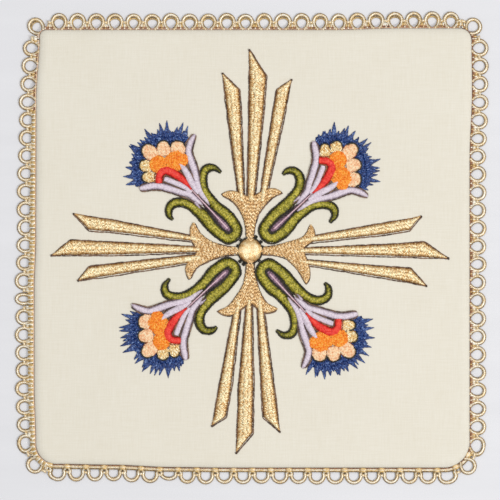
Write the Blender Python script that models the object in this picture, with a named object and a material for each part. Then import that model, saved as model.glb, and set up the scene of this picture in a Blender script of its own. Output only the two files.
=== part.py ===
"""Chalice pall: a stiff linen-covered square with padded embroidery and a gold loop braid.

Sizes are in millimetres and turned into metres when a mesh is made. The pall lies on its
underside at z = 0, and its origin is the centre of the underside.
"""

import math

import bmesh
import bpy
from mathutils import Vector

MM = 0.001

# Pall, the linen-covered square
PALL_WIDTH = 160.0
PALL_LENGTH = 161.5
PALL_TOP = 3.0

# Corner radii, no two alike because the linen is folded in by hand
CORNER_RADII = {"back_right": 4.5, "back_left": 2.5, "front_left": 7.5, "front_right": 9.5}
LEAST_CORNER_RADIUS = 0.4

# Rounded rim: inset from the widest outline, and height
RIM_SECTION = (
    (1.2, 0.0),
    (0.35, 0.35),
    (0.0, 1.1),
    (0.2, 1.8),
    (0.8, 2.45),
    (1.9, 2.85),
    (3.4, PALL_TOP),
)

# How far each side bows outwards: part of the way along the side, outward shift.
# Sides run counter-clockwise seen from above.
SIDE_BOWS = {
    "right": ((0.0, 0.0), (0.7, 0.0), (0.88, 0.9), (1.0, 0.7)),
    "back": ((0.0, 0.6), (0.15, 0.6), (0.3, 0.0), (1.0, 0.0)),
    "left": ((0.0, -1.4), (0.16, -0.1), (0.5, 0.0), (0.62, 0.6), (0.85, 0.6), (1.0, 0.0)),
    "front": ((0.0, -1.4), (0.14, -1.1), (0.3, -0.2), (0.45, 0.0), (1.0, 0.0)),
}
SIDE_ORDER = ("right", "back", "left", "front")
CORNER_ORDER = ("back_right", "back_left", "front_left", "front_right")
POINTS_PER_SIDE = 9
POINTS_PER_CORNER = 6

# Loop braid
BRAID_GAP = 0.3
LOOPS_PER_SIDE = {"right": 23, "back": 22, "left": 23, "front": 22}
# Width of the header that shows past the rim: at a side's start, middle and end
HEADER_WIDTHS = {
    "right": (1.1, 1.2, 1.1),
    "back": (1.1, 1.1, 1.1),
    "left": (1.1, 2.1, 1.9),
    "front": (1.3, 1.1, 1.2),
}
HEADER_BOTTOM = 0.2
HEADER_SHOULDER = 1.2
HEADER_TOP = 1.45
HEADER_LONGEST_STEP = 7.0
HEADER_MOST_TURN = 14.0
HEADER_FINE_STEP = 0.25
# Fine outline that the header follows
LINE_POINTS_PER_SIDE = 60
LINE_POINTS_PER_CORNER = 25
DIRECTION_REACH = 1.0
LOOP_RADIUS = 2.4
LOOP_CENTRE_OUT = 1.5
LOOP_HALF_TURN = 152.0
LOOP_STEPS = 8
STRAND_WIDTH = 1.3
STRAND_TOP_WIDTH = 0.7
STRAND_HEIGHT = 1.1
# Loops that lie twisted or pressed flat: side, number along it, width and height shares
ODD_LOOPS = {
    ("left", 15): (0.68, 1.0),
    ("front", 7): (1.05, 0.7),
}

# Embroidery: padded satin stitch, raised on the top face
MOTIF_CENTRE = (-1.0, -0.65)
PAD_ROOT = PALL_TOP - 0.6
PAD_EDGE = 0.12
ARM_COUNT = 4
# How far each flower spray is sewn out of its place
SPRAY_SHIFTS = ((0.0, 0.0), (-0.4, -0.6), (-0.2, 0.0), (-0.6, 0.1))
SATIN_HEIGHT = 0.75
FILL_HEIGHT = 0.45
CROWN_HEIGHT = 0.3
STEM_HEIGHT = 0.4
BOSS_RADII = (4.2, 4.7)
BOSS_SIDES = 12
# Dome of the boss: share of its radii, and height above the linen
BOSS_SECTION = ((1.0, 0.3), (0.85, 0.95), (0.5, 1.5))
# A ridge narrower than this is lower in proportion, down to a least share
RIDGE_FULL_WIDTH = 3.0
RIDGE_LEAST_SHARE = 0.3
# Share of an outline at which a mound's slope reaches its top
MOUND_TOP_SHARE = 0.72

# Rays of the arms from the back arm counter-clockwise, each arm pointing along +Y here. A ray
# holds its left and right edge at the two stations, the shoulder where its end is cut aslant,
# and its tip
RAY_STATIONS = (18.0, 50.0)
RAY_TIP_HALF = 0.2
ARM_RAYS = (
    (
        ((-4.0, -2.1), (-8.3, -3.4), (-3.9, 59.1), (-10.1, 64.9)),
        ((-1.0, 1.5), (-0.4, 4.8), (6.0, 64.2), (-0.3, 73.6)),
        ((3.3, 5.5), (8.2, 12.6), (9.8, 59.2), (15.2, 62.6)),
    ),
    (
        ((-3.8, -1.2), (-8.9, -4.7), (-5.8, 59.1), (-10.9, 63.0)),
        ((-0.5, 1.4), (-1.5, 3.2), (4.0, 66.0), (-1.7, 72.8)),
        ((3.1, 4.8), (6.9, 11.2), (7.6, 59.2), (13.6, 64.6)),
    ),
    (
        ((-4.5, -2.5), (-8.8, -4.1), (-4.9, 61.2), (-10.9, 66.2)),
        ((-0.6, 1.3), (-1.2, 4.2), (-0.9, 67.0), (5.1, 74.0)),
        ((3.1, 5.1), (6.9, 11.4), (8.9, 61.0), (14.0, 64.1)),
    ),
    (
        ((-4.5, -2.6), (-10.4, -6.1), (-7.5, 58.4), (-12.6, 62.6)),
        ((-1.0, 1.0), (-2.3, 1.9), (-3.3, 63.9), (2.8, 72.6)),
        ((3.1, 4.7), (5.8, 10.0), (6.4, 59.0), (12.9, 64.5)),
    ),
)

# Flared foot of an arm: distance out, left edge, right edge
FLARE_STATIONS = (
    (2.5, -1.3, 1.3),
    (9.0, -1.6, 1.6),
    (13.0, -2.9, 2.9),
    (16.5, -5.6, 5.8),
    (18.6, -8.2, 8.4),
)
# Tips of each arm's left and right cusp, and the cusp's half widths from root to tip
CUSP_TIPS = (
    ((-10.6, 20.5), (11.8, 21.4)),
    ((-10.7, 22.2), (10.6, 20.7)),
    ((-10.2, 21.4), (11.9, 22.4)),
    ((-9.7, 22.3), (12.3, 20.6)),
)
CUSP_ROOT = (3.4, 17.7)
CUSP_BACK = (3.4, 0.6)
CUSP_HALVES = (2.0, 1.6, 0.2)

# One flower spray lies on each diagonal. Its points are given as distance out along the
# diagonal and distance to the left of it. Paths also hold the half width.
LEAF_BEND_CENTRE = (11.1, -0.4)
LEAF_BEND_RADIUS = 3.2
LEAF_HALF_WIDTH = 1.75
LEAF_BEND_STEPS = 4
LEAF_LEFT_END = (
    (15.3, 3.3, 1.7),
    (22.3, 3.0, 1.6),
    (27.0, 3.0, 1.6),
    (30.2, 4.2, 1.6),
    (32.2, 6.6, 1.5),
    (32.3, 9.2, 1.3),
    (30.4, 11.2, 0.9),
    (28.0, 11.2, 0.2),
)
LEAF_RIGHT_END = (
    (15.0, -4.3, 1.7),
    (20.3, -3.5, 1.6),
    (26.4, -4.2, 1.5),
    (29.3, -5.5, 1.5),
    (31.8, -7.8, 1.45),
    (32.8, -10.6, 1.35),
    (31.2, -13.1, 1.0),
    (27.8, -13.6, 0.2),
)
STEM_PATH = ((11.2, -0.6, 0.6), (13.0, -0.6, 1.1), (17.0, -0.8, 0.5), (29.0, -1.2, 0.5))
SEPAL_PATHS = {
    "outer_left": (
        (23.0, 1.5, 0.3),
        (27.0, 0.7, 1.0),
        (32.3, 1.9, 1.4),
        (37.8, 4.3, 1.5),
        (42.4, 8.0, 1.5),
        (44.7, 11.6, 1.1),
    ),
    "inner_left": ((29.5, -0.5, 0.5), (35.1, 0.2, 1.1), (40.9, 2.9, 1.1)),
    "outer_right": (
        (24.0, -2.6, 0.6),
        (28.5, -3.2, 1.3),
        (33.3, -5.8, 1.4),
        (38.0, -8.2, 1.6),
        (42.0, -10.4, 1.4),
        (43.7, -13.2, 1.3),
        (44.5, -16.2, 0.7),
    ),
    "inner_right": ((29.5, -2.2, 0.7), (34.0, -3.6, 1.4), (38.3, -4.6, 1.3), (41.0, -4.7, 0.4)),
}

# Directions of the few points that close a fan behind its centre
BASE_ANGLES = (120.0, 180.0, 240.0)

# Crown of short blue spikes behind the petals
CROWN_CENTRE = (40.8, -0.8)
CROWN_INNER_RADIUS = 15.2
CROWN_TIP_RADIUS = 17.8
CROWN_HALF_ANGLE = 68.0
CROWN_SPIKES = 9
CROWN_BASE_RADIUS = 4.0

# Petal lobes round the fan and the mound inside them
FAN_CENTRE = (40.8, -0.8)
FAN_TIP_RADIUS = 12.3
FAN_NOTCH_RADIUS = 10.6
FAN_HALF_ANGLE = 69.0
FAN_LOBES = 5
FAN_BASE_RADIUS = 3.0
FAN_LIFT = 0.25
MOUND_CENTRE = (43.2, -1.5)
MOUND_RADII = (6.2, 6.8)
MOUND_LIFT = 0.45
MOUND_POINTS = 12


def clear_scene():
    for old in list(bpy.data.objects):
        bpy.data.objects.remove(old, do_unlink=True)


def make_material(name, colour, roughness, metallic):
    material = bpy.data.materials.new(name)
    material.use_nodes = True
    shader = material.node_tree.nodes["Principled BSDF"]
    shader.inputs["Base Color"].default_value = (*colour, 1.0)
    shader.inputs["Roughness"].default_value = roughness
    shader.inputs["Metallic"].default_value = metallic
    return material


def make_object(name, mesh_builder, material):
    """Object whose mesh is given in millimetres, with its faces turned outwards."""
    bmesh.ops.recalc_face_normals(mesh_builder, faces=mesh_builder.faces)
    bmesh.ops.scale(mesh_builder, vec=(MM, MM, MM), verts=mesh_builder.verts)
    mesh = bpy.data.meshes.new(name)
    mesh_builder.to_mesh(mesh)
    mesh_builder.free()
    piece = bpy.data.objects.new(name, mesh)
    piece.data.materials.append(material)
    bpy.context.scene.collection.objects.link(piece)
    return piece


def bridge_rings(mesh_builder, rings):
    """Quads between rings of equal length, with a face over the first and the last ring."""
    for lower, upper in zip(rings, rings[1:]):
        count = len(lower)
        for i in range(count):
            j = (i + 1) % count
            mesh_builder.faces.new((lower[i], lower[j], upper[j], upper[i]))
    mesh_builder.faces.new(list(reversed(rings[0])))
    mesh_builder.faces.new(rings[-1])


def smooth_table(rows, where):
    """Value of a two-column table, eased between its rows."""
    for (start, low), (end, high) in zip(rows, rows[1:]):
        if where <= end:
            share = (where - start) / (end - start)
            share = share * share * (3.0 - 2.0 * share)
            return low + (high - low) * share
    return rows[-1][1]


def corner_centre(corner, radius, outset):
    """Centre of a corner's arc, and the angle at which the arc starts."""
    number = CORNER_ORDER.index(corner)
    before = SIDE_ORDER[number]
    after = SIDE_ORDER[(number + 1) % 4]
    reach = {
        before: SIDE_BOWS[before][-1][1] + outset - radius,
        after: SIDE_BOWS[after][0][1] + outset - radius,
    }
    side_x = before if before in ("right", "left") else after
    side_y = after if side_x == before else before
    sign_x = 1.0 if side_x == "right" else -1.0
    sign_y = 1.0 if side_y == "back" else -1.0
    x = sign_x * (PALL_WIDTH / 2 + reach[side_x])
    y = sign_y * (PALL_LENGTH / 2 + reach[side_y])
    return Vector((x, y)), math.radians(90.0 * number)


def outline(outset, per_side=POINTS_PER_SIDE, per_corner=POINTS_PER_CORNER):
    """Pall's outline moved outwards by outset, counter-clockwise from the front right corner."""
    arcs = {}
    for corner in CORNER_ORDER:
        radius = max(CORNER_RADII[corner] + outset, LEAST_CORNER_RADIUS)
        centre, start = corner_centre(corner, radius, outset)
        angles = [start + math.radians(90.0) * i / (per_corner - 1) for i in range(per_corner)]
        arcs[corner] = [centre + radius * Vector((math.cos(a), math.sin(a))) for a in angles]
    points = []
    for number, side in enumerate(SIDE_ORDER):
        first = arcs[CORNER_ORDER[number - 1]][-1]
        last = arcs[CORNER_ORDER[number]][0]
        facing = math.radians(90.0 * number)
        outwards = Vector((math.cos(facing), math.sin(facing)))
        rows = SIDE_BOWS[side]
        for i in range(1, per_side + 1):
            share = i / (per_side + 1)
            bow = smooth_table(rows, share)
            straight = rows[0][1] + (rows[-1][1] - rows[0][1]) * share
            points.append(first.lerp(last, share) + outwards * (bow - straight))
        points.extend(arcs[CORNER_ORDER[number]])
    return points


def build_pall_body():
    mesh_builder = bmesh.new()
    rings = []
    for inset, height in RIM_SECTION:
        rings.append([mesh_builder.verts.new((p.x, p.y, height)) for p in outline(-inset)])
    bridge_rings(mesh_builder, rings)
    return mesh_builder


def rotated(point, degrees):
    angle = math.radians(degrees)
    x, y = point
    return Vector((x * math.cos(angle) - y * math.sin(angle), x * math.sin(angle) + y * math.cos(angle)))


def arm_point(x, y, turn):
    """A point of an arm, turned about the motif's centre."""
    return Vector(MOTIF_CENTRE) + rotated((x, y), 90.0 * turn)


def spray_point(out, left, turn):
    """A point of a flower spray, given along and to the left of its diagonal."""
    place = rotated((out, left), 45.0 + 90.0 * turn)
    return Vector(MOTIF_CENTRE) + Vector(SPRAY_SHIFTS[turn]) + place


def ridge_pad(lefts, rights, height):
    """Satin column between two edges: its section is a low ridge rooted in the pall."""
    mesh_builder = bmesh.new()
    rings = []
    for left, right in zip(lefts, rights):
        middle = (left + right) / 2
        width = (right - left).length
        lift = height * min(1.0, RIDGE_LEAST_SHARE + width / RIDGE_FULL_WIDTH)
        section = (
            (left, PAD_ROOT),
            (right, PAD_ROOT),
            (right, PALL_TOP + PAD_EDGE),
            (middle, PALL_TOP + lift),
            (left, PALL_TOP + PAD_EDGE),
        )
        rings.append([mesh_builder.verts.new((p.x, p.y, z)) for p, z in section])
    bridge_rings(mesh_builder, rings)
    return mesh_builder


def path_pad(path, height, to_point, turn):
    """Ridge pad that follows a path of (first, second, half width) rows."""
    places = [to_point(row[0], row[1], turn) for row in path]
    lefts = []
    rights = []
    for i, place in enumerate(places):
        before = places[max(i - 1, 0)]
        after = places[min(i + 1, len(places) - 1)]
        along = (after - before).normalized()
        side = Vector((-along.y, along.x)) * path[i][2]
        lefts.append(place + side)
        rights.append(place - side)
    return ridge_pad(lefts, rights, height)


def mound_pad(ring, centre, edge_lift, lift):
    """Low mound over an outline that can be seen whole from its centre."""
    mesh_builder = bmesh.new()
    rings = []
    levels = (
        (1.0, PAD_ROOT),
        (1.0, PALL_TOP + edge_lift),
        (MOUND_TOP_SHARE, PALL_TOP + lift),
    )
    for share, height in levels:
        rings.append([
            mesh_builder.verts.new((*(centre + (p - centre) * share), height)) for p in ring
        ])
    bridge_rings(mesh_builder, rings)
    return mesh_builder


def ray_edges(ray):
    """Left and right edge of a ray, as points of the arm from its foot outwards."""
    foot, middle, shoulder, tip = ray
    share = (shoulder[1] - RAY_STATIONS[1]) / (tip[1] - RAY_STATIONS[1])
    edges = []
    for side, sign in ((0, -1.0), (1, 1.0)):
        straight = middle[side] + (tip[0] - middle[side]) * share
        cut_here = (shoulder[0] - tip[0]) * sign > 0.0
        edges.append([
            (foot[side], RAY_STATIONS[0]),
            (middle[side], RAY_STATIONS[1]),
            (shoulder[0] if cut_here else straight, shoulder[1]),
            (tip[0] + sign * RAY_TIP_HALF, tip[1]),
        ])
    return edges


def ray_pad(ray, turn):
    """Ray: a ridge between its two edges."""
    lefts, rights = ([arm_point(x, y, turn) for x, y in edge] for edge in ray_edges(ray))
    return ridge_pad(lefts, rights, SATIN_HEIGHT)


def flare_pad(turn):
    lefts = [arm_point(left, out, turn) for out, left, _ in FLARE_STATIONS]
    rights = [arm_point(right, out, turn) for out, _, right in FLARE_STATIONS]
    return ridge_pad(lefts, rights, FILL_HEIGHT)


def cusp_path(sign, tip):
    """Path of one cusp from its root in the flare to its tip."""
    places = (
        (sign * CUSP_ROOT[0], CUSP_ROOT[1]),
        (tip[0] - sign * CUSP_BACK[0], tip[1] - CUSP_BACK[1]),
        tip,
    )
    return [(*place, half) for place, half in zip(places, CUSP_HALVES)]


def leaf_path():
    """Both curled leaves and the bend that joins them, as one path."""
    bend = []
    for i in range(LEAF_BEND_STEPS + 1):
        angle = math.radians(270.0 - 180.0 * i / LEAF_BEND_STEPS)
        out = LEAF_BEND_CENTRE[0] + LEAF_BEND_RADIUS * math.cos(angle)
        left = LEAF_BEND_CENTRE[1] + LEAF_BEND_RADIUS * math.sin(angle)
        bend.append((out, left, LEAF_HALF_WIDTH))
    return list(reversed(LEAF_RIGHT_END)) + bend + list(LEAF_LEFT_END)


def polar_ring(centre, radii, half_angle, base_radius, turn):
    """Outline round a centre on a diagonal: given radii over the fan, a small one behind."""
    ring = []
    count = len(radii)
    for i, radius in enumerate(radii):
        angle = math.radians(-half_angle + 2.0 * half_angle * i / (count - 1))
        out = centre[0] + radius * math.cos(angle)
        ring.append(spray_point(out, centre[1] + radius * math.sin(angle), turn))
    for degrees in BASE_ANGLES:
        angle = math.radians(degrees)
        out = centre[0] + base_radius * math.cos(angle)
        ring.append(spray_point(out, centre[1] + base_radius * math.sin(angle), turn))
    return ring


def crown_pad(turn):
    radii = []
    for _ in range(CROWN_SPIKES):
        radii += [CROWN_INNER_RADIUS, CROWN_TIP_RADIUS]
    radii.append(CROWN_INNER_RADIUS)
    ring = polar_ring(CROWN_CENTRE, radii, CROWN_HALF_ANGLE, CROWN_BASE_RADIUS, turn)
    return mound_pad(ring, spray_point(*CROWN_CENTRE, turn), PAD_EDGE, CROWN_HEIGHT)


def fan_pad(turn):
    radii = []
    for _ in range(FAN_LOBES):
        radii += [FAN_NOTCH_RADIUS, FAN_TIP_RADIUS, FAN_TIP_RADIUS]
    radii.append(FAN_NOTCH_RADIUS)
    ring = polar_ring(FAN_CENTRE, radii, FAN_HALF_ANGLE, FAN_BASE_RADIUS, turn)
    return mound_pad(ring, spray_point(*FAN_CENTRE, turn), FAN_LIFT, FAN_LIFT + FILL_HEIGHT)


def petal_mound_pad(turn):
    ring = []
    for i in range(MOUND_POINTS):
        angle = math.radians(360.0 * i / MOUND_POINTS)
        out = MOUND_CENTRE[0] + MOUND_RADII[0] * math.cos(angle)
        ring.append(spray_point(out, MOUND_CENTRE[1] + MOUND_RADII[1] * math.sin(angle), turn))
    centre = spray_point(*MOUND_CENTRE, turn)
    return mound_pad(ring, centre, MOUND_LIFT, MOUND_LIFT + FILL_HEIGHT)


def boss_pad():
    """Domed knot at the middle of the cross."""
    mesh_builder = bmesh.new()
    rings = []
    for share, lift in ((1.0, PAD_ROOT - PALL_TOP), *BOSS_SECTION):
        ring = []
        for i in range(BOSS_SIDES):
            angle = math.radians(360.0 * i / BOSS_SIDES)
            x = MOTIF_CENTRE[0] + share * BOSS_RADII[0] * math.cos(angle)
            y = MOTIF_CENTRE[1] + share * BOSS_RADII[1] * math.sin(angle)
            ring.append(mesh_builder.verts.new((x, y, PALL_TOP + lift)))
        rings.append(ring)
    bridge_rings(mesh_builder, rings)
    return mesh_builder


def embroidery_pads():
    """All raised parts of the embroidery, as name and mesh builder."""
    pads = [("boss", boss_pad())]
    for turn in range(ARM_COUNT):
        for number, ray in enumerate(ARM_RAYS[turn]):
            pads.append((f"ray_{number}_{turn}", ray_pad(ray, turn)))
        pads.append((f"flare_{turn}", flare_pad(turn)))
        for name, sign, tip in zip(("left", "right"), (-1.0, 1.0), CUSP_TIPS[turn]):
            path = cusp_path(sign, tip)
            pads.append((f"cusp_{name}_{turn}", path_pad(path, FILL_HEIGHT, arm_point, turn)))
        pads.append((f"leaves_{turn}", path_pad(leaf_path(), SATIN_HEIGHT, spray_point, turn)))
        pads.append((f"stem_{turn}", path_pad(STEM_PATH, STEM_HEIGHT, spray_point, turn)))
        pads.append((f"crown_{turn}", crown_pad(turn)))
        pads.append((f"fan_{turn}", fan_pad(turn)))
        pads.append((f"mound_{turn}", petal_mound_pad(turn)))
        for sepal, path in SEPAL_PATHS.items():
            pads.append((f"sepal_{sepal}_{turn}", path_pad(path, SATIN_HEIGHT, spray_point, turn)))
    return pads


def union_with(piece, mesh_builders, material):
    """Joins further closed meshes to a piece with one Boolean over a hidden collection."""
    helpers = bpy.data.collections.new(f"{piece.name}_helpers")
    bpy.context.scene.collection.children.link(helpers)
    for name, mesh_builder in mesh_builders:
        helper = make_object(f"{piece.name}_{name}", mesh_builder, material)
        bpy.context.scene.collection.objects.unlink(helper)
        helpers.objects.link(helper)
        helper.hide_render = True
        helper.display_type = "WIRE"
    union = piece.modifiers.new("union", "BOOLEAN")
    union.operation = "UNION"
    union.operand_type = "COLLECTION"
    union.collection = helpers
    union.solver = "EXACT"


class BraidLine:
    """The line round the pall that the braid's header lies on, measured by distance."""

    def __init__(self):
        self.points = outline(BRAID_GAP, LINE_POINTS_PER_SIDE, LINE_POINTS_PER_CORNER)
        self.ends = [0.0]
        count = len(self.points)
        for i in range(count):
            step = (self.points[(i + 1) % count] - self.points[i]).length
            self.ends.append(self.ends[-1] + step)
        self.length = self.ends[-1]
        self.corner_middles = {}
        for number, corner in enumerate(CORNER_ORDER):
            before = number * (LINE_POINTS_PER_SIDE + LINE_POINTS_PER_CORNER) + LINE_POINTS_PER_SIDE
            self.corner_middles[corner] = self.ends[before + LINE_POINTS_PER_CORNER // 2]

    def point(self, distance):
        distance %= self.length
        low = 0
        high = len(self.points)
        while high - low > 1:
            middle = (low + high) // 2
            if self.ends[middle] <= distance:
                low = middle
            else:
                high = middle
        share = (distance - self.ends[low]) / (self.ends[low + 1] - self.ends[low])
        return self.points[low].lerp(self.points[(low + 1) % len(self.points)], share)

    def outwards(self, distance):
        ahead = self.point(distance + DIRECTION_REACH)
        along = (ahead - self.point(distance - DIRECTION_REACH)).normalized()
        return Vector((along.y, -along.x))


def header_width(side, share):
    start, middle, end = HEADER_WIDTHS[side]
    return smooth_table(((0.0, start), (0.5, middle), (1.0, end)), share)


def loop_tube(base, outwards, width, sizes):
    """One loop: a strand bent to an open ring, with both feet inside the header."""
    wide, tall = sizes
    along = Vector((-outwards.y, outwards.x))
    centre = base + outwards * (width + LOOP_CENTRE_OUT * tall)
    mesh_builder = bmesh.new()
    rings = []
    for i in range(LOOP_STEPS + 1):
        angle = math.radians(-LOOP_HALF_TURN + 2.0 * LOOP_HALF_TURN * i / LOOP_STEPS)
        across = along * (math.sin(angle) * wide) + outwards * (math.cos(angle) * tall)
        facing = across.normalized()
        middle = centre + across * LOOP_RADIUS
        section = (
            (STRAND_WIDTH / 2, 0.0),
            (STRAND_TOP_WIDTH / 2, STRAND_HEIGHT),
            (-STRAND_TOP_WIDTH / 2, STRAND_HEIGHT),
            (-STRAND_WIDTH / 2, 0.0),
        )
        rings.append([
            mesh_builder.verts.new((*(middle + facing * reach), height)) for reach, height in section
        ])
    bridge_rings(mesh_builder, rings)
    return mesh_builder


def header_stations(line, start, end):
    """Distances of the header's sections: close together round a corner, far apart elsewhere."""
    stations = [start]
    facing = line.outwards(start)
    distance = start
    while distance < end - HEADER_FINE_STEP:
        turned = math.degrees(facing.angle(line.outwards(distance)))
        if turned > HEADER_MOST_TURN or distance - stations[-1] > HEADER_LONGEST_STEP:
            stations.append(distance)
            facing = line.outwards(distance)
        distance += HEADER_FINE_STEP
    return stations + [end]


def header_strip(line, start, end, side):
    """Flat twisted header of one run, with its inner edge along the rim."""
    mesh_builder = bmesh.new()
    rings = []
    for distance in header_stations(line, start, end):
        inner = line.point(distance)
        outwards = line.outwards(distance)
        width = header_width(side, (distance - start) / (end - start))
        section = (
            (0.0, HEADER_BOTTOM),
            (width, HEADER_BOTTOM),
            (width, HEADER_SHOULDER),
            (width / 2, HEADER_TOP),
            (0.0, HEADER_SHOULDER),
        )
        rings.append([mesh_builder.verts.new((*(inner + outwards * out), z)) for out, z in section])
    bridge_rings(mesh_builder, rings)
    return mesh_builder


def build_braid_run(line, number, material):
    """One side's run of braid with the corner loop at its end."""
    side = SIDE_ORDER[number]
    start = line.corner_middles[CORNER_ORDER[number - 1]]
    end = line.corner_middles[CORNER_ORDER[number]]
    if end < start:
        start -= line.length
    count = LOOPS_PER_SIDE[side] + 1
    pitch = (end - start) / count
    run_start = start + pitch / 2 + BRAID_GAP / 2
    run_end = end + pitch / 2 - BRAID_GAP / 2
    header = make_object(f"loop_braid_{side}", header_strip(line, run_start, run_end, side), material)
    loops = []
    for i in range(1, count + 1):
        distance = start + pitch * i
        share = (distance - run_start) / (run_end - run_start)
        width = header_width(side, share)
        sizes = ODD_LOOPS.get((side, i), (1.0, 1.0))
        tube = loop_tube(line.point(distance), line.outwards(distance), width, sizes)
        loops.append((f"loop_{i:02d}", tube))
    union_with(header, loops, material)


def main():
    clear_scene()
    linen = make_material("ivory_linen", (0.79, 0.75, 0.64), 0.9, 0.0)
    gold_braid = make_material("gold_braid", (0.60, 0.42, 0.20), 0.4, 0.8)
    pall = make_object("pall", build_pall_body(), linen)
    union_with(pall, embroidery_pads(), linen)
    line = BraidLine()
    for number in range(len(SIDE_ORDER)):
        build_braid_run(line, number, gold_braid)


main()
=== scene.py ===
import math

import bpy
import numpy as np
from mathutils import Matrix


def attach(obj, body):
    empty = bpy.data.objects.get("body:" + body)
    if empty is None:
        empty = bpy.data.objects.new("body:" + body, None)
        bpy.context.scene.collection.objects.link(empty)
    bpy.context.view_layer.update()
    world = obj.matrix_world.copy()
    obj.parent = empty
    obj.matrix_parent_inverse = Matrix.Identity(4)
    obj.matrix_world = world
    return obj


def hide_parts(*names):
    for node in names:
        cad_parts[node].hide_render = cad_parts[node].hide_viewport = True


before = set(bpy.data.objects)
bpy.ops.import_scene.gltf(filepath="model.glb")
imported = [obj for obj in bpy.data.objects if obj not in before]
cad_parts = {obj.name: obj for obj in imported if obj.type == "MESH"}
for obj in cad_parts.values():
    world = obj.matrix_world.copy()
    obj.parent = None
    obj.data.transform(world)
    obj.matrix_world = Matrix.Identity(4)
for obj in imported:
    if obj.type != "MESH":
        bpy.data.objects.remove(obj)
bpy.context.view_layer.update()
bpy.ops.object.select_all(action="DESELECT")
bpy.context.scene.view_settings.view_transform = "Standard"

mm = 0.001
linenTop = 3.0  # height of the flat linen above the surface, in mm


# Shader maths

class Value:  # a socket that adds its own Math nodes when it is reckoned with
    def __init__(self, finish, socket):
        self.finish = finish
        self.socket = socket

    def maths(self, operation, first, second=0.0, clamp=False):
        settings = {"operation": operation, "use_clamp": clamp}
        return self.finish.node("Math", settings, {0: first, 1: second})

    def __add__(self, other):
        return self.maths("ADD", self, other)

    def __radd__(self, other):
        return self.maths("ADD", other, self)

    def __sub__(self, other):
        return self.maths("SUBTRACT", self, other)

    def __mul__(self, other):
        return self.maths("MULTIPLY", self, other)

    def __truediv__(self, other):
        return self.maths("DIVIDE", self, other)

    def __pow__(self, other):
        return self.maths("POWER", self, other)

    def sine(self):
        return self.maths("SINE", self)

    def clamped(self):
        return self.maths("ADD", self, 0.0, True)


class Finish:  # one Principled material, and the nodes added to it
    def __init__(self, name, sockets):
        self.material = bpy.data.materials.new(name)
        self.material.use_nodes = True
        self.tree = self.material.node_tree
        self.shader = self.tree.nodes["Principled BSDF"]
        for socket, value in sockets.items():
            self.feed(self.shader.inputs[socket], value)

    def feed(self, socket, value):
        if isinstance(value, Value):
            self.tree.links.new(value.socket, socket)
        else:
            socket.default_value = value

    def node(self, kind, settings=None, inputs=None, output=0):
        added = self.tree.nodes.new("ShaderNode" + kind)
        for name, value in (settings or {}).items():
            setattr(added, name, value)
        for name, value in (inputs or {}).items():
            self.feed(added.inputs[name], value)
        return Value(self, added.outputs[output])

    def place(self):
        return self.node("TexCoord", output="Object")

    def noise(self, size, detail=2.0, roughness=0.5, stretch=(1.0, 1.0, 1.0)):
        where = self.node("Mapping", {}, {"Vector": self.place(), "Scale": stretch})
        inputs = {"Vector": where, "Scale": 1.0 / (size * mm), "Detail": detail, "Roughness": roughness}
        return self.node("TexNoise", {}, inputs)

    def mix(self, share, first, second):
        return self.node("Mix", {"data_type": "RGBA"}, {0: share, 6: first, 7: second}, 2)

    def use(self, socket, value):
        self.feed(self.shader.inputs[socket], value)

    def bump(self, height, distance, strength=1.0):
        inputs = {"Height": height, "Distance": distance * mm, "Strength": strength}
        self.use("Normal", self.node("Bump", {}, inputs))


def shade(red, green, blue):  # screen colour, 0 to 255, as the linear colour a shader takes
    def straight(part):
        part /= 255.0
        return part / 12.92 if part <= 0.04045 else ((part + 0.055) / 1.055) ** 2.4
    return (straight(red), straight(green), straight(blue), 1.0)


# Meshes

def takeMesh(piece):  # points in mm and faces of a modelled object, which then goes
    points = np.empty(len(piece.data.vertices) * 3)
    piece.data.vertices.foreach_get("co", points)
    faces = [list(face.vertices) for face in piece.data.polygons]
    old = piece.data
    bpy.data.objects.remove(piece)
    bpy.data.meshes.remove(old)
    return points.reshape(-1, 3), faces


class Work:  # gathers the parts of one piece
    def __init__(self):
        self.points = []
        self.tones = []
        self.faces = []
        self.count = 0

    def add(self, points, faces, tones):
        self.points.append(points)
        self.tones.append(np.broadcast_to(tones, len(points)))
        start = self.count
        self.faces.extend([[start + corner for corner in face] for face in faces])
        self.count += len(points)

    def piece(self, name, finish, slot):
        mesh = bpy.data.meshes.new(name)
        mesh.from_pydata((np.vstack(self.points) * mm).tolist(), [], self.faces)
        tone = mesh.attributes.new("tone", "FLOAT", "POINT")
        tone.data.foreach_set("value", np.concatenate(self.tones).astype(np.float32))
        mesh.polygons.foreach_set("use_smooth", [True] * len(mesh.polygons))
        mesh.materials.append(finish.material)
        mesh.update()
        made = bpy.data.objects.new(name, mesh)
        bpy.context.collection.objects.link(made)
        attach(made, "root")
        print(name, "made,", sum(len(face) - 2 for face in self.faces), "triangles")
        return made


# Lines in the plane, in mm. A row holds x, y and whatever else changes along the line

def distances(rows):  # how far along the line each row is
    return np.r_[0.0, np.cumsum(np.hypot(*np.diff(rows[:, :2], axis=0).T))]


def unit(vectors):
    return vectors / np.maximum(np.hypot(*vectors.T), 1e-9)[:, None]


def resample(rows, step):
    gone = distances(rows)
    count = max(int(round(gone[-1] / step)), 2)
    where = np.linspace(0.0, gone[-1], count + 1)
    return np.column_stack([np.interp(where, gone, column) for column in rows.T])


def smoothPath(rows, step=0.5):  # a smooth line through the rows
    rows = np.array(rows, float)
    padded = np.vstack([2.0 * rows[0] - rows[1], rows, 2.0 * rows[-1] - rows[-2]])
    fine = [rows[:1]]
    t = np.linspace(0.0, 1.0, 13)[1:, None]
    for a, b, c, d in zip(padded, padded[1:], padded[2:], padded[3:]):
        cubic = 3.0 * (b - c) + d - a
        fine.append(b + 0.5 * t * (c - a + t * (2.0 * a - 5.0 * b + 4.0 * c - d + t * cubic)))
    return resample(np.vstack(fine), step)


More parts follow.
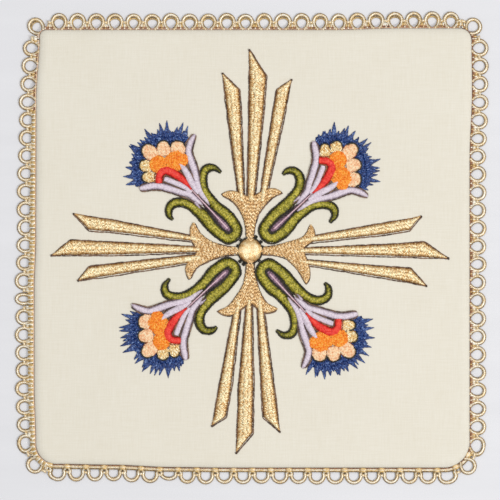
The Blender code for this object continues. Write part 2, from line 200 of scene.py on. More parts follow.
def sideways(points):  # unit vectors to the left of the line
    along = unit(np.gradient(points[:, :2], axis=0))
    return np.column_stack([-along[:, 1], along[:, 0]])


def pathEdges(path, grow=0.0):  # both edges of a path whose third column is its half width
    reach = sideways(path) * np.maximum(path[:, 2:3] + grow, 0.02)
    return path[:, :2] + reach, path[:, :2] - reach


def ringAround(lefts, rights):  # both edges as one closed line, counter-clockwise
    return np.vstack([rights, lefts[::-1]])


def grownRing(ring, grow):
    ahead = unit(np.roll(ring, -1, axis=0) - np.roll(ring, 1, axis=0))
    return ring + grow * np.column_stack([ahead[:, 1], -ahead[:, 0]])


def rungs(lefts, rights, pitch):  # matching points on two edges, a stitch pitch apart
    lefts = np.array(lefts, float)
    rights = np.array(rights, float)
    gone = distances((lefts + rights) / 2.0)
    where = np.arange(pitch / 2.0, gone[-1], pitch)
    return [np.column_stack([np.interp(where, gone, column) for column in edge.T])
            for edge in (lefts, rights)]


def edgeDistance(points, ring):  # distance of each point to a closed line
    nearest = np.full(len(points), 1e9)
    for start, end in zip(ring, np.roll(ring, -1, axis=0)):
        along = end - start
        share = ((points - start) @ along) / max(along @ along, 1e-12)
        foot = start + np.clip(share, 0.0, 1.0)[:, None] * along
        nearest = np.minimum(nearest, np.hypot(*(points - foot).T))
    return nearest


# The motif: one arm and one flower, each laid four times round its centre

motif = {
    "centre": (-1.0, -0.65), "arms": 4,
    "sprayShifts": ((0.0, 0.0), (-0.4, -0.6), (-0.2, 0.0), (-0.6, 0.1)),  # flowers sewn out of place
    "outlineDrop": (0.08, -0.24),
}


def turned(points, degrees):
    angle = math.radians(degrees)
    x, y = points[:, 0], points[:, 1]
    return np.column_stack([x * math.cos(angle) - y * math.sin(angle),
                            x * math.sin(angle) + y * math.cos(angle)])


def placeArm(points, turn):
    return motif["centre"] + turned(points, 90.0 * turn)


def placeSpray(points, turn):  # along a diagonal, and to the left of it
    return motif["centre"] + np.array(motif["sprayShifts"][turn]) + turned(points, 45.0 + 90.0 * turn)


def ringOfPath(path, turn, grow=0.0):
    lefts, rights = pathEdges(path, grow)
    return placeSpray(ringAround(lefts, rights), turn)


# Stitches: a row holds its start, its end, its rise between them, width, depth and tone

def modelStitch():  # a blunt spindle along z, modelled once
    bpy.ops.object.select_all(action="DESELECT")
    bpy.ops.mesh.primitive_uv_sphere_add(segments=5, ring_count=6, radius=1.0)
    spindle = bpy.context.object
    for near, swell in ((0.866, 1.5), (0.5, 1.1)):
        for vertex in spindle.data.vertices:
            vertex.select = abs(abs(vertex.co.z) - near) < 0.01
        bpy.ops.object.mode_set(mode="EDIT")
        bpy.ops.transform.resize(value=(swell, swell, 1.0), center_override=(0.0, 0.0, 0.0))
        bpy.ops.mesh.select_all(action="DESELECT")
        bpy.ops.object.mode_set(mode="OBJECT")
    return takeMesh(spindle)


stitchShape, stitchFaces = modelStitch()


def crestShare(share):  # height of a blunt crest over a share of its width
    return 1.0 - np.abs(2.0 * share - 1.0) ** 2.2


def layStitches(work, rows):  # copies of the spindle, each bent over its own rise
    rows = np.array(rows, float)
    share = (stitchShape[:, 2] + 1.0) / 2.0
    start = rows[:, None, 0:3]
    end = rows[:, None, 3:6]
    run = unit(rows[:, 3:5] - rows[:, 0:2])
    side = np.column_stack([-run[:, 1], run[:, 0], np.zeros(len(run))])[:, None, :]
    points = start + (end - start) * share[None, :, None]
    points = points + side * (stitchShape[None, :, 0:1] * rows[:, None, 7:8] / 2.0)
    rise = rows[:, 6:7] * crestShare(share[None, :])
    points[:, :, 2] += rise + stitchShape[None, :, 1] * rows[:, 8:9] / 2.0
    size = len(stitchShape)
    faces = [[number * size + corner for corner in face]
             for number in range(len(rows)) for face in stitchFaces]
    work.add(points.reshape(-1, 3), faces, np.repeat(rows[:, 9], size))


satinLook = {"pitch": 0.36, "thread": 0.42, "longest": 9.9, "ragged": 0.05, "tones": (0.0, 1.0),
             "base": 0.0, "leastShare": 0.3, "fullWidth": 3.0}


def satin(work, lefts, rights, look, roll):  # stitches from edge to edge over a crest
    look = dict(satinLook, **look)
    rows = []
    base = linenTop + look["base"]
    for left, right in zip(*rungs(lefts, rights, look["pitch"])):
        wide = math.hypot(*(right - left))
        if wide < 0.25:
            continue
        crest = look["crest"] * min(1.0, look["leastShare"] + wide / look["fullWidth"])
        overhang = roll.uniform(0.0, look["ragged"], 2) / wide
        count = max(1, int(round(wide / look["longest"] + roll.uniform(-0.3, 0.3))))
        cuts = np.linspace(0.0, 1.0, count + 1)
        cuts[1:-1] += roll.uniform(-0.25, 0.25, count - 1) / count
        heights = base + crest * crestShare(cuts)
        tops = base + crest * crestShare((cuts[1:] + cuts[:-1]) / 2.0)
        cuts[0] -= overhang[0]
        cuts[-1] += overhang[1]
        lap = min(0.15 / wide, 0.1)
        for i in range(count):
            first = left + (right - left) * (cuts[i] - (lap if i else 0.0))
            last = left + (right - left) * (cuts[i + 1] + (lap if i < count - 1 else 0.0))
            first += roll.normal(0.0, 0.02, 2)
            last += roll.normal(0.0, 0.02, 2)
            rise = tops[i] - (heights[i] + heights[i + 1]) / 2.0 + 0.04
            rows.append((*first, heights[i], *last, heights[i + 1], rise,
                         look["thread"] * roll.uniform(0.95, 1.2), look["thread"] * 0.8,
                         roll.uniform(*look["tones"])))
    layStitches(work, rows)


def moundHeight(points, ring, look):
    share = np.clip(edgeDistance(points, ring) / look["reach"], 0.0, 1.0)
    return linenTop + look["base"] + look["crest"] * np.sqrt(1.0 - (1.0 - share) ** 2)


def fill(work, ring, angle, look, roll):  # brick-laid short stitches over a low mound
    turn = math.radians(angle)
    along = np.array([math.cos(turn), math.sin(turn)])
    across = np.array([-along[1], along[0]])
    flat = np.column_stack([ring @ along, ring @ across])
    spans = []
    ends = np.roll(flat, -1, axis=0)
    levels = np.arange(flat[:, 1].min() + look["pitch"] / 2.0, flat[:, 1].max(), look["pitch"])
    for number, level in enumerate(levels):
        crossing = (flat[:, 1] <= level) != (ends[:, 1] <= level)
        share = (level - flat[crossing, 1]) / (ends[crossing, 1] - flat[crossing, 1])
        hits = np.sort(flat[crossing, 0] + share * (ends[crossing, 0] - flat[crossing, 0]))
        for low, high in zip(hits[::2], hits[1::2]):
            low -= roll.uniform(0.0, look["ragged"])
            high += roll.uniform(0.0, look["ragged"])
            if high - low < 0.5:
                continue
            phase = (number % 3) / 3.0 + roll.uniform(-0.12, 0.12)
            cuts = [low]
            here = low + look["longest"] * (0.35 + phase * 0.65)
            while here < high - 0.5:
                cuts.append(here)
                here += look["longest"] * roll.uniform(0.85, 1.15)
            cuts.append(high)
            for first, last in zip(cuts, cuts[1:]):
                spans.append((first - 0.12, level, last + 0.12, level))
    spans = np.array(spans)
    spans[:, [1, 3]] += roll.normal(0.0, 0.03, (len(spans), 2))
    firsts = spans[:, 0:1] * along + spans[:, 1:2] * across
    lasts = spans[:, 2:3] * along + spans[:, 3:4] * across
    low = moundHeight(firsts, ring, look)
    high = moundHeight(lasts, ring, look)
    top = moundHeight((firsts + lasts) / 2.0, ring, look)
    count = len(spans)
    thread = look["thread"] * roll.uniform(0.95, 1.2, count)
    layStitches(work, np.column_stack([
        firsts, low, lasts, high, top - (low + high) / 2.0 + 0.05,
        thread, thread * 0.8, roll.uniform(*look["tones"], count),
    ]))


def runningStitch(work, path, look, roll, closed=False):  # a thin line of single stitches
    if closed:
        path = np.vstack([path, path[:1]])
    points = resample(path[:, :2], look["longest"])
    points[1:-1] += roll.normal(0.0, look["wobble"], (len(points) - 2, 2))
    if closed:
        points[-1] = points[0]
    count = len(points) - 1
    gap = (points[1:] - points[:-1]) * look["lap"]
    height = np.full(count, linenTop + look["base"])
    layStitches(work, np.column_stack([
        points[:-1] - gap, height, points[1:] + gap, height,
        np.full(count, look["crest"]),
        look["thread"] * roll.uniform(0.85, 1.25, count), np.full(count, look["thread"]),
        roll.uniform(*look["tones"], count),
    ]))


def underlay(work, ring, high, tone=0.2):  # card of padding under the stitches
    ring = resample(np.vstack([ring, ring[:1]]), 0.9)[:-1]
    bpy.ops.object.select_all(action="DESELECT")
    bpy.ops.mesh.primitive_circle_add(vertices=len(ring), radius=1.0, fill_type="NGON")
    pad = bpy.context.object
    for vertex, (x, y) in zip(pad.data.vertices, ring):
        vertex.co = (x, y, linenTop - 0.1)
    bpy.ops.object.mode_set(mode="EDIT")
    bpy.ops.mesh.select_all(action="SELECT")
    bpy.ops.mesh.extrude_region_move(TRANSFORM_OT_translate={"value": (0.0, 0.0, high + 0.1)})
    bpy.ops.mesh.select_all(action="SELECT")
    bpy.ops.mesh.normals_make_consistent(inside=False)
    bpy.ops.object.mode_set(mode="OBJECT")
    points, faces = takeMesh(pad)
    work.add(points, faces, tone)


# Finishes

# The height share and power paint each padded shape darker towards its low edges and lighter on its crest:
# painted shade and painted highlight.
threadLook = {"roughness": 0.42, "metallic": 0.0, "sheen": 0.05, "speck": 0.7, "crest": 0.5, "base": 0.0,
              "paintedShadePower": 1.0, "toneShare": 0.4, "mottleAndGlintShare": 2.0, "paintedShadeShare": 0.4, "offset": 0.0}
metal = {"roughness": 0.36, "metallic": 0.6, "sheen": 0.0, "speck": 0.6, "crest": 0.9, "toneShare": 0.35}
matt = {"roughness": 0.6, "sheen": 0.0, "speck": 1.0, "toneShare": 0.7, "mottleAndGlintShare": 0.6, "paintedShadeShare": 0.1}
threads = {  # dark, middle and light screen colours, and what differs from the look above
    "gold": ((138, 80, 34), (224, 180, 116), (255, 242, 202),
             dict(metal, paintedShadePower=1.6, mottleAndGlintShare=2.4, paintedShadeShare=0.78, offset=-0.1)),
    "flare": ((150, 96, 46), (230, 190, 132), (255, 242, 208), dict(metal, paintedShadeShare=0.3, offset=0.08)),
    "boss": ((158, 100, 44), (238, 196, 132), (255, 242, 202),
             dict(metal, speck=1.5, crest=1.6, toneShare=0.4, paintedShadePower=1.3, paintedShadeShare=0.75, offset=-0.12)),
    "paleGold": ((190, 122, 40), (240, 206, 140), (255, 250, 222),
                 {"roughness": 0.4, "metallic": 0.4, "sheen": 0.0, "base": 0.25, "mottleAndGlintShare": 2.2}),
    "green": ((50, 50, 6), (134, 128, 22), (216, 200, 80),
              {"roughness": 0.4, "speck": 0.6, "crest": 0.95, "paintedShadePower": 2.2, "toneShare": 0.25,
               "mottleAndGlintShare": 2.2, "paintedShadeShare": 0.6, "offset": -0.05}),
    "lilac": ((104, 86, 98), (192, 176, 190), (234, 222, 232),
              {"roughness": 0.45, "sheen": 0.1, "speck": 0.6, "crest": 0.85, "base": 0.2, "paintedShadePower": 1.8,
               "toneShare": 0.15, "mottleAndGlintShare": 1.5, "paintedShadeShare": 0.75, "offset": 0.03}),
    "mauve": ((72, 48, 62), (138, 106, 126), (200, 170, 188),
              {"roughness": 0.45, "sheen": 0.1, "mottleAndGlintShare": 1.8, "offset": -0.1}),
    "pink": ((180, 128, 144), (222, 182, 194), (248, 222, 228),
             {"roughness": 0.4, "sheen": 0.1, "crest": 1.0, "toneShare": 0.5, "mottleAndGlintShare": 0.6,
              "paintedShadeShare": 0.3}),
    "red": ((132, 6, 12), (222, 30, 26), (255, 84, 60),
            {"speck": 0.8, "crest": 0.7, "base": 0.62, "paintedShadePower": 1.6, "toneShare": 0.2,
             "mottleAndGlintShare": 1.3, "paintedShadeShare": 0.6}),
    "orange": ((224, 92, 4), (250, 142, 24), (255, 196, 84),
               {"base": 0.5, "toneShare": 0.45, "mottleAndGlintShare": 1.5, "paintedShadeShare": 0.3}),
    "peach": ((214, 134, 84), (248, 196, 150), (255, 234, 196),
              {"base": 0.3, "paintedShadeShare": 0.5, "offset": -0.05}),
    "blue": ((8, 30, 84), (32, 72, 142), (184, 212, 248),
             {"roughness": 0.38, "speck": 0.6, "crest": 0.4, "toneShare": 0.3, "mottleAndGlintShare": 2.6,
              "paintedShadeShare": 0.1, "offset": 0.02}),
    "outline": ((60, 42, 34), (102, 76, 60), (146, 114, 92), dict(matt, crest=0.4, toneShare=0.8)),
    "dark": ((20, 18, 14), (46, 42, 28), (78, 70, 46), matt),
    "rust": ((96, 44, 22), (150, 84, 50), (206, 140, 96), matt),
    "plum": ((34, 22, 24), (68, 46, 54), (126, 94, 108),
             dict(matt, roughness=0.55, speck=0.9, crest=0.4, toneShare=0.6, mottleAndGlintShare=0.9)),
}


def colourBy(finish, share, dark, middle, light):  # through three screen colours
    half = finish.mix((share * 2.0).clamped(), shade(*dark), shade(*middle))
    finish.use("Base Color", finish.mix((share * 2.0 - 1.0).clamped(), half, shade(*light)))


def threadFinish(name, dark, middle, light, changes):
    look = dict(threadLook, **changes)
    finish = Finish(name + "Thread", {"Roughness": look["roughness"], "Metallic": look["metallic"],
                                      "Sheen Weight": look["sheen"], "Sheen Roughness": 0.4})
    tone = finish.node("Attribute", {"attribute_name": "tone"}, {}, "Fac")
    # Random mottle of the threads; its light specks also serve as painted glints.
    speck = finish.noise(look["speck"], 3.0, 0.65)
    height = finish.node("SeparateXYZ", {}, {"Vector": finish.place()}, "Z")
    # Painted shade and highlight by height: the colour darkens towards the low edges of each padded shape and
    # lightens on its crest.
    rise = ((height - (linenTop + look["base"]) * mm) / (look["crest"] * mm)).clamped() ** look["paintedShadePower"]
    share = tone * look["toneShare"] + (speck - 0.5) * look["mottleAndGlintShare"] + rise * look["paintedShadeShare"]
    colourBy(finish, share + look["offset"], dark, middle, light)
    finish.bump(finish.noise(0.12, 2.0, 0.6), 0.03, 0.5)
    return finish


finishes = {name: threadFinish(name, *row) for name, row in threads.items()}
print("thread finishes made")


def makeColumns(name, paths, look, thread, slot, seed, padding=0.3):  # satin along paths, in each quarter
    roll = np.random.default_rng(seed)
    work = Work()
    for turn in range(motif["arms"]):
        for path in paths:
            lefts, rights = (placeSpray(edge, turn) for edge in pathEdges(path))
            satin(work, lefts, rights, look, roll)
            if padding:
                underlay(work, ringOfPath(path, turn, -0.3), padding)
    return work.piece(name, finishes[thread], slot)


# Gold rays

rays = {
    "stations": (18.0, 50.0), "tipHalf": 0.12,
    "arms": (  # each ray's edges at both stations, its shoulder and its tip
        (
            ((-4.0, -2.1), (-8.3, -3.4), (-3.9, 59.1), (-10.1, 64.9)),
            ((-1.0, 1.5), (-0.4, 4.8), (6.0, 64.2), (-0.3, 73.6)),
            ((3.3, 5.5), (8.2, 12.6), (9.8, 59.2), (15.2, 62.6)),
        ),
        (
            ((-3.8, -1.2), (-8.9, -4.7), (-5.8, 59.1), (-10.9, 63.0)),
            ((-0.5, 1.4), (-1.5, 3.2), (4.0, 66.0), (-1.7, 72.8)),
            ((3.1, 4.8), (6.9, 11.2), (7.6, 59.2), (13.6, 64.6)),
        ),
        (
            ((-4.5, -2.5), (-8.8, -4.1), (-4.9, 61.2), (-10.9, 66.2)),
            ((-0.6, 1.3), (-1.2, 4.2), (-0.9, 67.0), (5.1, 74.0)),
            ((3.1, 5.1), (6.9, 11.4), (8.9, 61.0), (14.0, 64.1)),
        ),
        (
            ((-4.5, -2.6), (-10.4, -6.1), (-7.5, 58.4), (-12.6, 62.6)),
            ((-1.0, 1.0), (-2.3, 1.9), (-3.3, 63.9), (2.8, 72.6)),
            ((3.1, 4.7), (5.8, 10.0), (6.4, 59.0), (12.9, 64.5)),
        ),
    ),
    "satin": {"crest": 0.8, "pitch": 0.39, "thread": 0.43, "longest": 1.8, "ragged": 0.12},
    "padding": 0.35, "paddingInset": 0.12,
}


def rayEdges(ray):  # in the arm's own plane, from the foot outwards
    foot, middle, shoulder, tip = ray
    near, far = rays["stations"]
    share = (shoulder[1] - far) / (tip[1] - far)
    edges = []
    for side, sign in ((0, -1.0), (1, 1.0)):
        straight = middle[side] + (tip[0] - middle[side]) * share
        cutHere = (shoulder[0] - tip[0]) * sign > 0.0
        edges.append(np.array([
            (foot[side], near), (middle[side], far),
            (shoulder[0] if cutHere else straight, shoulder[1]),
            (tip[0] + sign * rays["tipHalf"], tip[1]),
        ]))
    return edges


def makeRays():
    roll = np.random.default_rng(11)
    work = Work()
    for turn in range(motif["arms"]):
        for ray in rays["arms"][turn]:
            lefts, rights = (placeArm(edge, turn) for edge in rungs(*rayEdges(ray), 0.5))
            satin(work, lefts, rights, rays["satin"], roll)
            inner = (rights - lefts) * rays["paddingInset"]
            underlay(work, ringAround(lefts + inner, rights - inner), rays["padding"])
    return work.piece("goldRays", finishes["gold"], "gold_thread")


makeRays()


# Flared feet of the arms

flares = {
    "waist": ((1.2, 2.5), (1.5, 8.0), (2.9, 13.3)),  # half width and distance out
    "cusps": (
        ((-10.6, 20.5), (11.8, 21.4)),
        ((-10.7, 22.2), (10.6, 20.7)),
        ((-10.2, 21.4), (11.9, 22.4)),
        ((-9.7, 22.3), (12.3, 20.6)),
    ),
    "under": (4.6, -2.6), "over": ((2.3, 1.2), (5.4, 1.2)), "notch": ((1.6, 20.2), (0.0, 19.2)),
    "fill": {"crest": 0.45, "base": 0.12, "reach": 1.3, "pitch": 0.4, "thread": 0.44, "longest": 1.35,
             "ragged": 0.08, "tones": (0.0, 1.0)},
    "padding": 0.3, "stitchAngle": 78.0,
}


def flareSides(turn):  # left and right side, from the waist round the cusp to the notch
    sides = []
    for sign, tip in zip((-1.0, 1.0), flares["cusps"][turn]):
        def inwards(step):
            return tip[0] - sign * step[0], tip[1] + step[1]
        lower = [(sign * half, out) for half, out in flares["waist"]] + [inwards(flares["under"]), tip]
        upper = [tip] + [inwards(step) for step in flares["over"]]
        upper += [(sign * half, out) for half, out in flares["notch"]]
        sides.append((smoothPath(lower, 0.6), smoothPath(upper, 0.6)))
    return sides


def flareRing(turn):
    (leftLower, leftUpper), (rightLower, rightUpper) = flareSides(turn)
    ring = np.vstack([rightLower[:-1], rightUpper[:-1], leftUpper[::-1][:-1], leftLower[::-1]])
    return placeArm(ring, turn)


def makeFlares():
    roll = np.random.default_rng(12)
    work = Work()
    for turn in range(motif["arms"]):
        ring = flareRing(turn)
        fill(work, ring, flares["stitchAngle"] + 90.0 * turn, flares["fill"], roll)
        underlay(work, grownRing(ring, -0.3), flares["padding"])
    return work.piece("goldFlares", finishes["flare"], "gold_thread")


makeFlares()


# Domed knot at the middle

boss = {
    "radii": (4.45, 4.8), "lean": 12.0,
    "satin": {"crest": 1.3, "pitch": 0.34, "thread": 0.4, "ragged": 0.06, "tones": (0.35, 1.0),
              "fullWidth": 9.0, "leastShare": 0.12, "base": 0.15},
    "padding": 0.6, "paddingInset": 0.1, "outline": 0.05, "knotReach": 0.55,
    "knots": ((-4.5, 1.6), (2.2, 5.0), (4.0, 3.2), (4.4, 1.2), (3.2, -3.6), (-3.7, -4.0), (-2.4, -5.0),
              (-3.3, 3.7)),
}


def makeBoss():
    roll = np.random.default_rng(13)
    work = Work()
    across = np.linspace(-0.98, 0.98, 23)
    tall = np.sqrt(1.0 - across ** 2)
    upper, lower = (placeArm(turned(np.column_stack([across, sign * tall]) * boss["radii"], boss["lean"]), 0)
                    for sign in (1.0, -1.0))
    satin(work, upper, lower, boss["satin"], roll)
    inner = (lower - upper) * boss["paddingInset"]
    underlay(work, ringAround(upper + inner, lower - inner), boss["padding"])
    return work.piece("goldBoss", finishes["boss"], "gold_thread")


makeBoss()


# Leaves: two curled ends joined by a bend round the foot of the flower

leaves = {
    "bendCentre": (11.1, -0.4), "bendRadius": 3.0, "half": 1.85, "bendSteps": 6,
    "leftEnd": ((15.3, 2.9, 1.97), (19.0, 2.57, 2.1), (22.3, 2.35, 2.05), (24.8, 2.75, 1.65), (27.0, 3.0, 1.5),
                (30.2, 4.2, 1.5), (32.2, 6.6, 1.4), (32.3, 9.2, 1.2), (30.4, 11.1, 0.85), (28.3, 11.3, 0.2)),
    "rightEnd": ((15.0, -3.9, 1.95), (20.3, -3.4, 1.75), (26.4, -4.1, 1.5), (29.3, -5.5, 1.4),
                 (31.8, -7.8, 1.35), (32.8, -10.6, 1.3), (31.2, -12.9, 0.95), (28.1, -13.5, 0.2)),
    "satin": {"crest": 0.8, "pitch": 0.38, "thread": 0.44, "longest": 2.4, "leastShare": 0.1,
              "fullWidth": 3.4},
}


def leafPath():
    bend = []
    for i in range(1, leaves["bendSteps"]):
        angle = math.radians(270.0 - 180.0 * i / leaves["bendSteps"])
        bend.append((leaves["bendCentre"][0] + leaves["bendRadius"] * math.cos(angle),
                     leaves["bendCentre"][1] + leaves["bendRadius"] * math.sin(angle), leaves["half"]))
    return smoothPath([*reversed(leaves["rightEnd"]), *bend, *leaves["leftEnd"]])


makeColumns("greenLeaves", [leafPath()], leaves["satin"], "green", "green_thread", 14)


# Flower: crown of spikes, petals, red band, sepals and stem

crown = {
    "centre": (40.8, -0.8), "inner": 9.4, "outer": 15.5, "span": (-69.0, 67.0), "endDrop": 1.5,
    "spikes": 23, "spikeBase": 14.5, "spikeHalf": 0.75, "tips": (16.3, 19.7), "spikeThreads": 5,
    "thread": 0.45, "base": 0.12, "rise": 0.12, "tones": (0.0, 1.0),
    "step": math.degrees(0.41 / 13.5),  # angle between rows of stitches
}


def polar(centre, radius, degrees):
    angle = np.radians(degrees)
    return np.column_stack([centre[0] + radius * np.cos(angle), centre[1] + radius * np.sin(angle)])


def crownDrop(degrees):  # the crown narrows towards both ends
    low, high = crown["span"]
    share = abs((degrees - low) / (high - low) - 0.5) * 2.0
    return crown["endDrop"] * share ** 2.5


def makeCrowns():
    roll = np.random.default_rng(15)
    work = Work()
    low, high = crown["span"]
    for turn in range(motif["arms"]):
        starts = []
        ends = []
        for angle in np.arange(low, high, crown["step"]):
            drop = crownDrop(angle)
            cuts = np.linspace(crown["inner"], crown["outer"] - drop + roll.uniform(-0.5, 0.3), 4)
            cuts[1:-1] += roll.uniform(-0.6, 0.6, 2)
            lean = angle + roll.uniform(-0.9, 0.9, 4)
            starts.append(polar(crown["centre"], cuts[:-1] - 0.15, lean[:-1]))
            ends.append(polar(crown["centre"], cuts[1:] + 0.15, lean[1:]))
        for i in range(crown["spikes"]):
            middle = low + (high - low) * (i + 0.5) / crown["spikes"] + roll.uniform(-1.6, 1.6)
            drop = crownDrop(middle)
            tip = roll.uniform(*crown["tips"]) - drop
            bend = roll.uniform(-3.5, 3.5)
            for share in np.linspace(-1.0, 1.0, crown["spikeThreads"]):
                foot = middle + math.degrees(share * crown["spikeHalf"] / crown["spikeBase"])
                reach = tip - abs(share) * roll.uniform(0.8, 2.2)
                starts.append(polar(crown["centre"], np.array([crown["spikeBase"] - drop]), foot))
                ends.append(polar(crown["centre"], np.array([reach]), middle + bend + share * 0.5))
        starts = placeSpray(np.vstack(starts), turn)
        ends = placeSpray(np.vstack(ends), turn)
        count = len(starts)
        height = linenTop + crown["base"] + roll.uniform(0.0, 0.12, count)
        layStitches(work, np.column_stack([
            starts, height, ends, height - 0.05, np.full(count, crown["rise"]),
            crown["thread"] * roll.uniform(0.85, 1.15, count), np.full(count, crown["thread"] * 0.8),
            roll.uniform(*crown["tones"], count),
        ]))
        arc = np.linspace(low, high, 30)
        ring = np.vstack([polar(crown["centre"], crown["outer"] - 0.5 - crown["endDrop"] * 0.4, arc),
                          polar(crown["centre"], crown["inner"], arc[::-1])])
        underlay(work, placeSpray(ring, turn), 0.12, 0.1)
    return work.piece("blueCrowns", finishes["blue"], "blue_thread")


petals = {
    "gold": (
        ((43.4, 4.4, 1.6), (44.8, 5.8, 1.85), (46.3, 7.3, 1.85), (47.0, 8.0, 1.3), (47.35, 8.35, 0.4)),
        ((47.2, 3.4, 1.7), (48.4, 4.0, 2.1), (49.8, 4.7, 2.1), (50.9, 5.3, 1.5), (51.4, 5.6, 0.5)),
    ),
    "peach": (
        ((48.8, -0.2, 1.6), (50.2, -0.2, 2.3), (51.8, -0.2, 2.5), (53.4, -0.2, 2.3), (54.6, -0.2, 1.5),
         (55.1, -0.2, 0.5)),
        ((47.0, -3.2, 1.8), (48.2, -4.1, 2.3), (49.6, -5.1, 2.4), (50.8, -6.0, 1.9), (51.4, -6.4, 0.7)),
        ((43.4, -6.5, 2.0), (44.8, -7.9, 2.6), (46.2, -9.2, 2.6), (47.0, -10.0, 2.0), (47.4, -10.4, 0.8)),
    ),
    "orange": (
        ((43.0, 0.6, 1.8), (44.6, 0.7, 2.7), (46.6, 0.8, 3.2), (48.4, 0.7, 2.6), (49.3, 0.6, 1.6),
         (49.6, 0.6, 0.5)),
        ((43.4, -1.0, 2.6), (43.4, -3.7, 2.9), (43.6, -5.6, 2.5), (42.8, -7.2, 2.2), (42.4, -8.3, 0.9)),
        ((40.0, -2.4, 0.7), (40.4, -4.2, 1.3), (40.8, -6.2, 1.8), (41.2, -7.8, 1.6), (41.6, -9.0, 0.8)),
    ),
    "fill": {"crest": 0.45, "base": 0.3, "reach": 1.2, "pitch": 0.39, "thread": 0.43, "longest": 1.25,
             "ragged": 0.05, "tones": (0.0, 1.0)},
}
paths = {name: [smoothPath(rows) for rows in petals[name]] for name in ("gold", "peach", "orange")}


def makePetals(name, paths, base, thread, slot, seed):
    roll = np.random.default_rng(seed)
    work = Work()
    look = dict(petals["fill"], base=base)
    for turn in range(motif["arms"]):
        for path in paths:
            run = path[-1, :2] - path[0, :2]
            angle = math.degrees(math.atan2(run[1], run[0])) + 45.0 + 90.0 * turn
            ring = ringOfPath(path, turn)
            fill(work, ring, angle + roll.uniform(-14.0, 14.0), look, roll)
            underlay(work, ringOfPath(path, turn, -0.35), base + 0.15, 0.3)
    return work.piece(name, finishes[thread], slot)


redPath = smoothPath((
    (31.2, -1.3, 0.3), (32.8, -1.5, 0.65), (34.6, -1.6, 1.1), (36.2, -1.6, 1.4), (38.3, -1.3, 1.65),
    (40.8, -0.8, 1.75), (42.7, 0.0, 1.75), (43.7, 1.6, 1.7), (43.2, 3.5, 1.5), (41.9, 4.9, 1.45),
    (41.3, 5.5, 1.2)))
redSatin = {"crest": 0.6, "longest": 2.4, "ragged": 0.06, "base": 0.62}

sepals = {
    "outerLeft": ((24.4, -0.2, 0.5), (26.0, 0.0, 0.95), (28.5, 0.25, 1.25), (30.5, 0.5, 1.35),
                  (33.0, 1.9, 1.45), (35.5, 3.2, 1.45), (37.8, 4.5, 1.45), (40.3, 5.9, 1.45),
                  (42.4, 8.0, 1.45), (44.1, 10.6, 1.3), (44.8, 11.7, 0.9)),
    "spur": ((22.7, 1.7, 0.1), (24.5, 1.3, 0.4), (27.0, 0.9, 0.8)),
    "innerLeft": ((30.5, -0.6, 0.6), (33.0, -0.3, 1.0), (35.1, 0.3, 1.15), (37.9, 1.4, 1.15),
                  (40.4, 2.6, 1.1), (41.1, 3.0, 0.95)),
    "outerRight": ((22.6, -2.0, 0.4), (24.9, -2.5, 1.0), (27.7, -2.9, 1.3), (30.7, -4.1, 1.4),
                   (33.3, -5.7, 1.4), (36.1, -7.4, 1.5), (39.2, -8.8, 1.5), (42.0, -10.5, 1.3),
                   (43.6, -13.1, 1.3), (44.4, -15.5, 0.95), (44.6, -16.5, 0.5)),
    "innerRight": ((28.5, -2.0, 0.6), (32.0, -2.8, 1.3), (35.5, -4.0, 1.4), (38.4, -4.8, 1.15),
                   (40.3, -4.9, 0.75), (41.1, -4.7, 0.35)),
}
sepals = {name: smoothPath(rows) for name, rows in sepals.items()}
sepalSatin = {"crest": 0.75, "base": 0.2, "leastShare": 0.15}

stem = {
    "line": ((11.8, -0.6, 0.35), (14.0, -0.7, 0.3), (19.0, -0.9, 0.28), (25.0, -1.1, 0.26),
             (31.5, -1.3, 0.2)),
    "lineSatin": {"crest": 0.25, "pitch": 0.34, "thread": 0.4, "ragged": 0.03, "tones": (0.3, 1.0),
                  "base": 0.65, "leastShare": 0.8},
    "oval": ((10.8, -0.5, 0.5), (11.8, -0.5, 1.0), (13.2, -0.6, 1.15), (15.5, -0.7, 0.95), (18.5, -0.9, 0.6),
             (21.0, -1.0, 0.35)),
    "ovalSatin": {"crest": 0.3, "base": 0.3, "leastShare": 0.7},
    "surround": ((9.8, -0.4, 0.7), (11.2, -0.45, 1.7), (15.0, -0.5, 2.0), (19.0, -0.8, 1.5),
                 (22.0, -1.0, 1.2), (24.0, -1.0, 0.9), (25.5, -1.0, 0.5)),
    "surroundSatin": {"crest": 0.15, "pitch": 0.4, "thread": 0.46, "longest": 2.2, "ragged": 0.1,
                      "base": 0.05, "leastShare": 0.8},
}


def makeStemPart(name, part, thread, slot, seed):
    makeColumns(name, [smoothPath(stem[part])], stem[part + "Satin"], thread, slot, seed, 0.0)


makeCrowns()
makePetals("goldPetals", paths["gold"], 0.3, "paleGold", "gold_thread", 16)
makePetals("peachPetals", paths["peach"], 0.3, "peach", "peach_thread", 17)
makePetals("orangePetals", paths["orange"], 0.5, "orange", "orange_thread", 18)
makeColumns("redBands", [redPath], redSatin, "red", "red_thread", 19, 0.8)
makeStemPart("stemSurrounds", "surround", "plum", "outline_thread", 20)
outerSepals = [sepals[name] for name in ("outerLeft", "spur", "outerRight")]
innerSepals = [sepals[name] for name in ("innerLeft", "innerRight")]
makeColumns("outerSepals", outerSepals, sepalSatin, "lilac", "lilac_thread", 21, 0.4)
makeColumns("innerSepals", innerSepals, dict(sepalSatin, base=0.55), "lilac", "lilac_thread", 25, 0.7)
makeStemPart("stemOvals", "oval", "mauve", "lilac_thread", 24)
makeStemPart("stemLines", "line", "pink", "lilac_thread", 22)


# Outlines

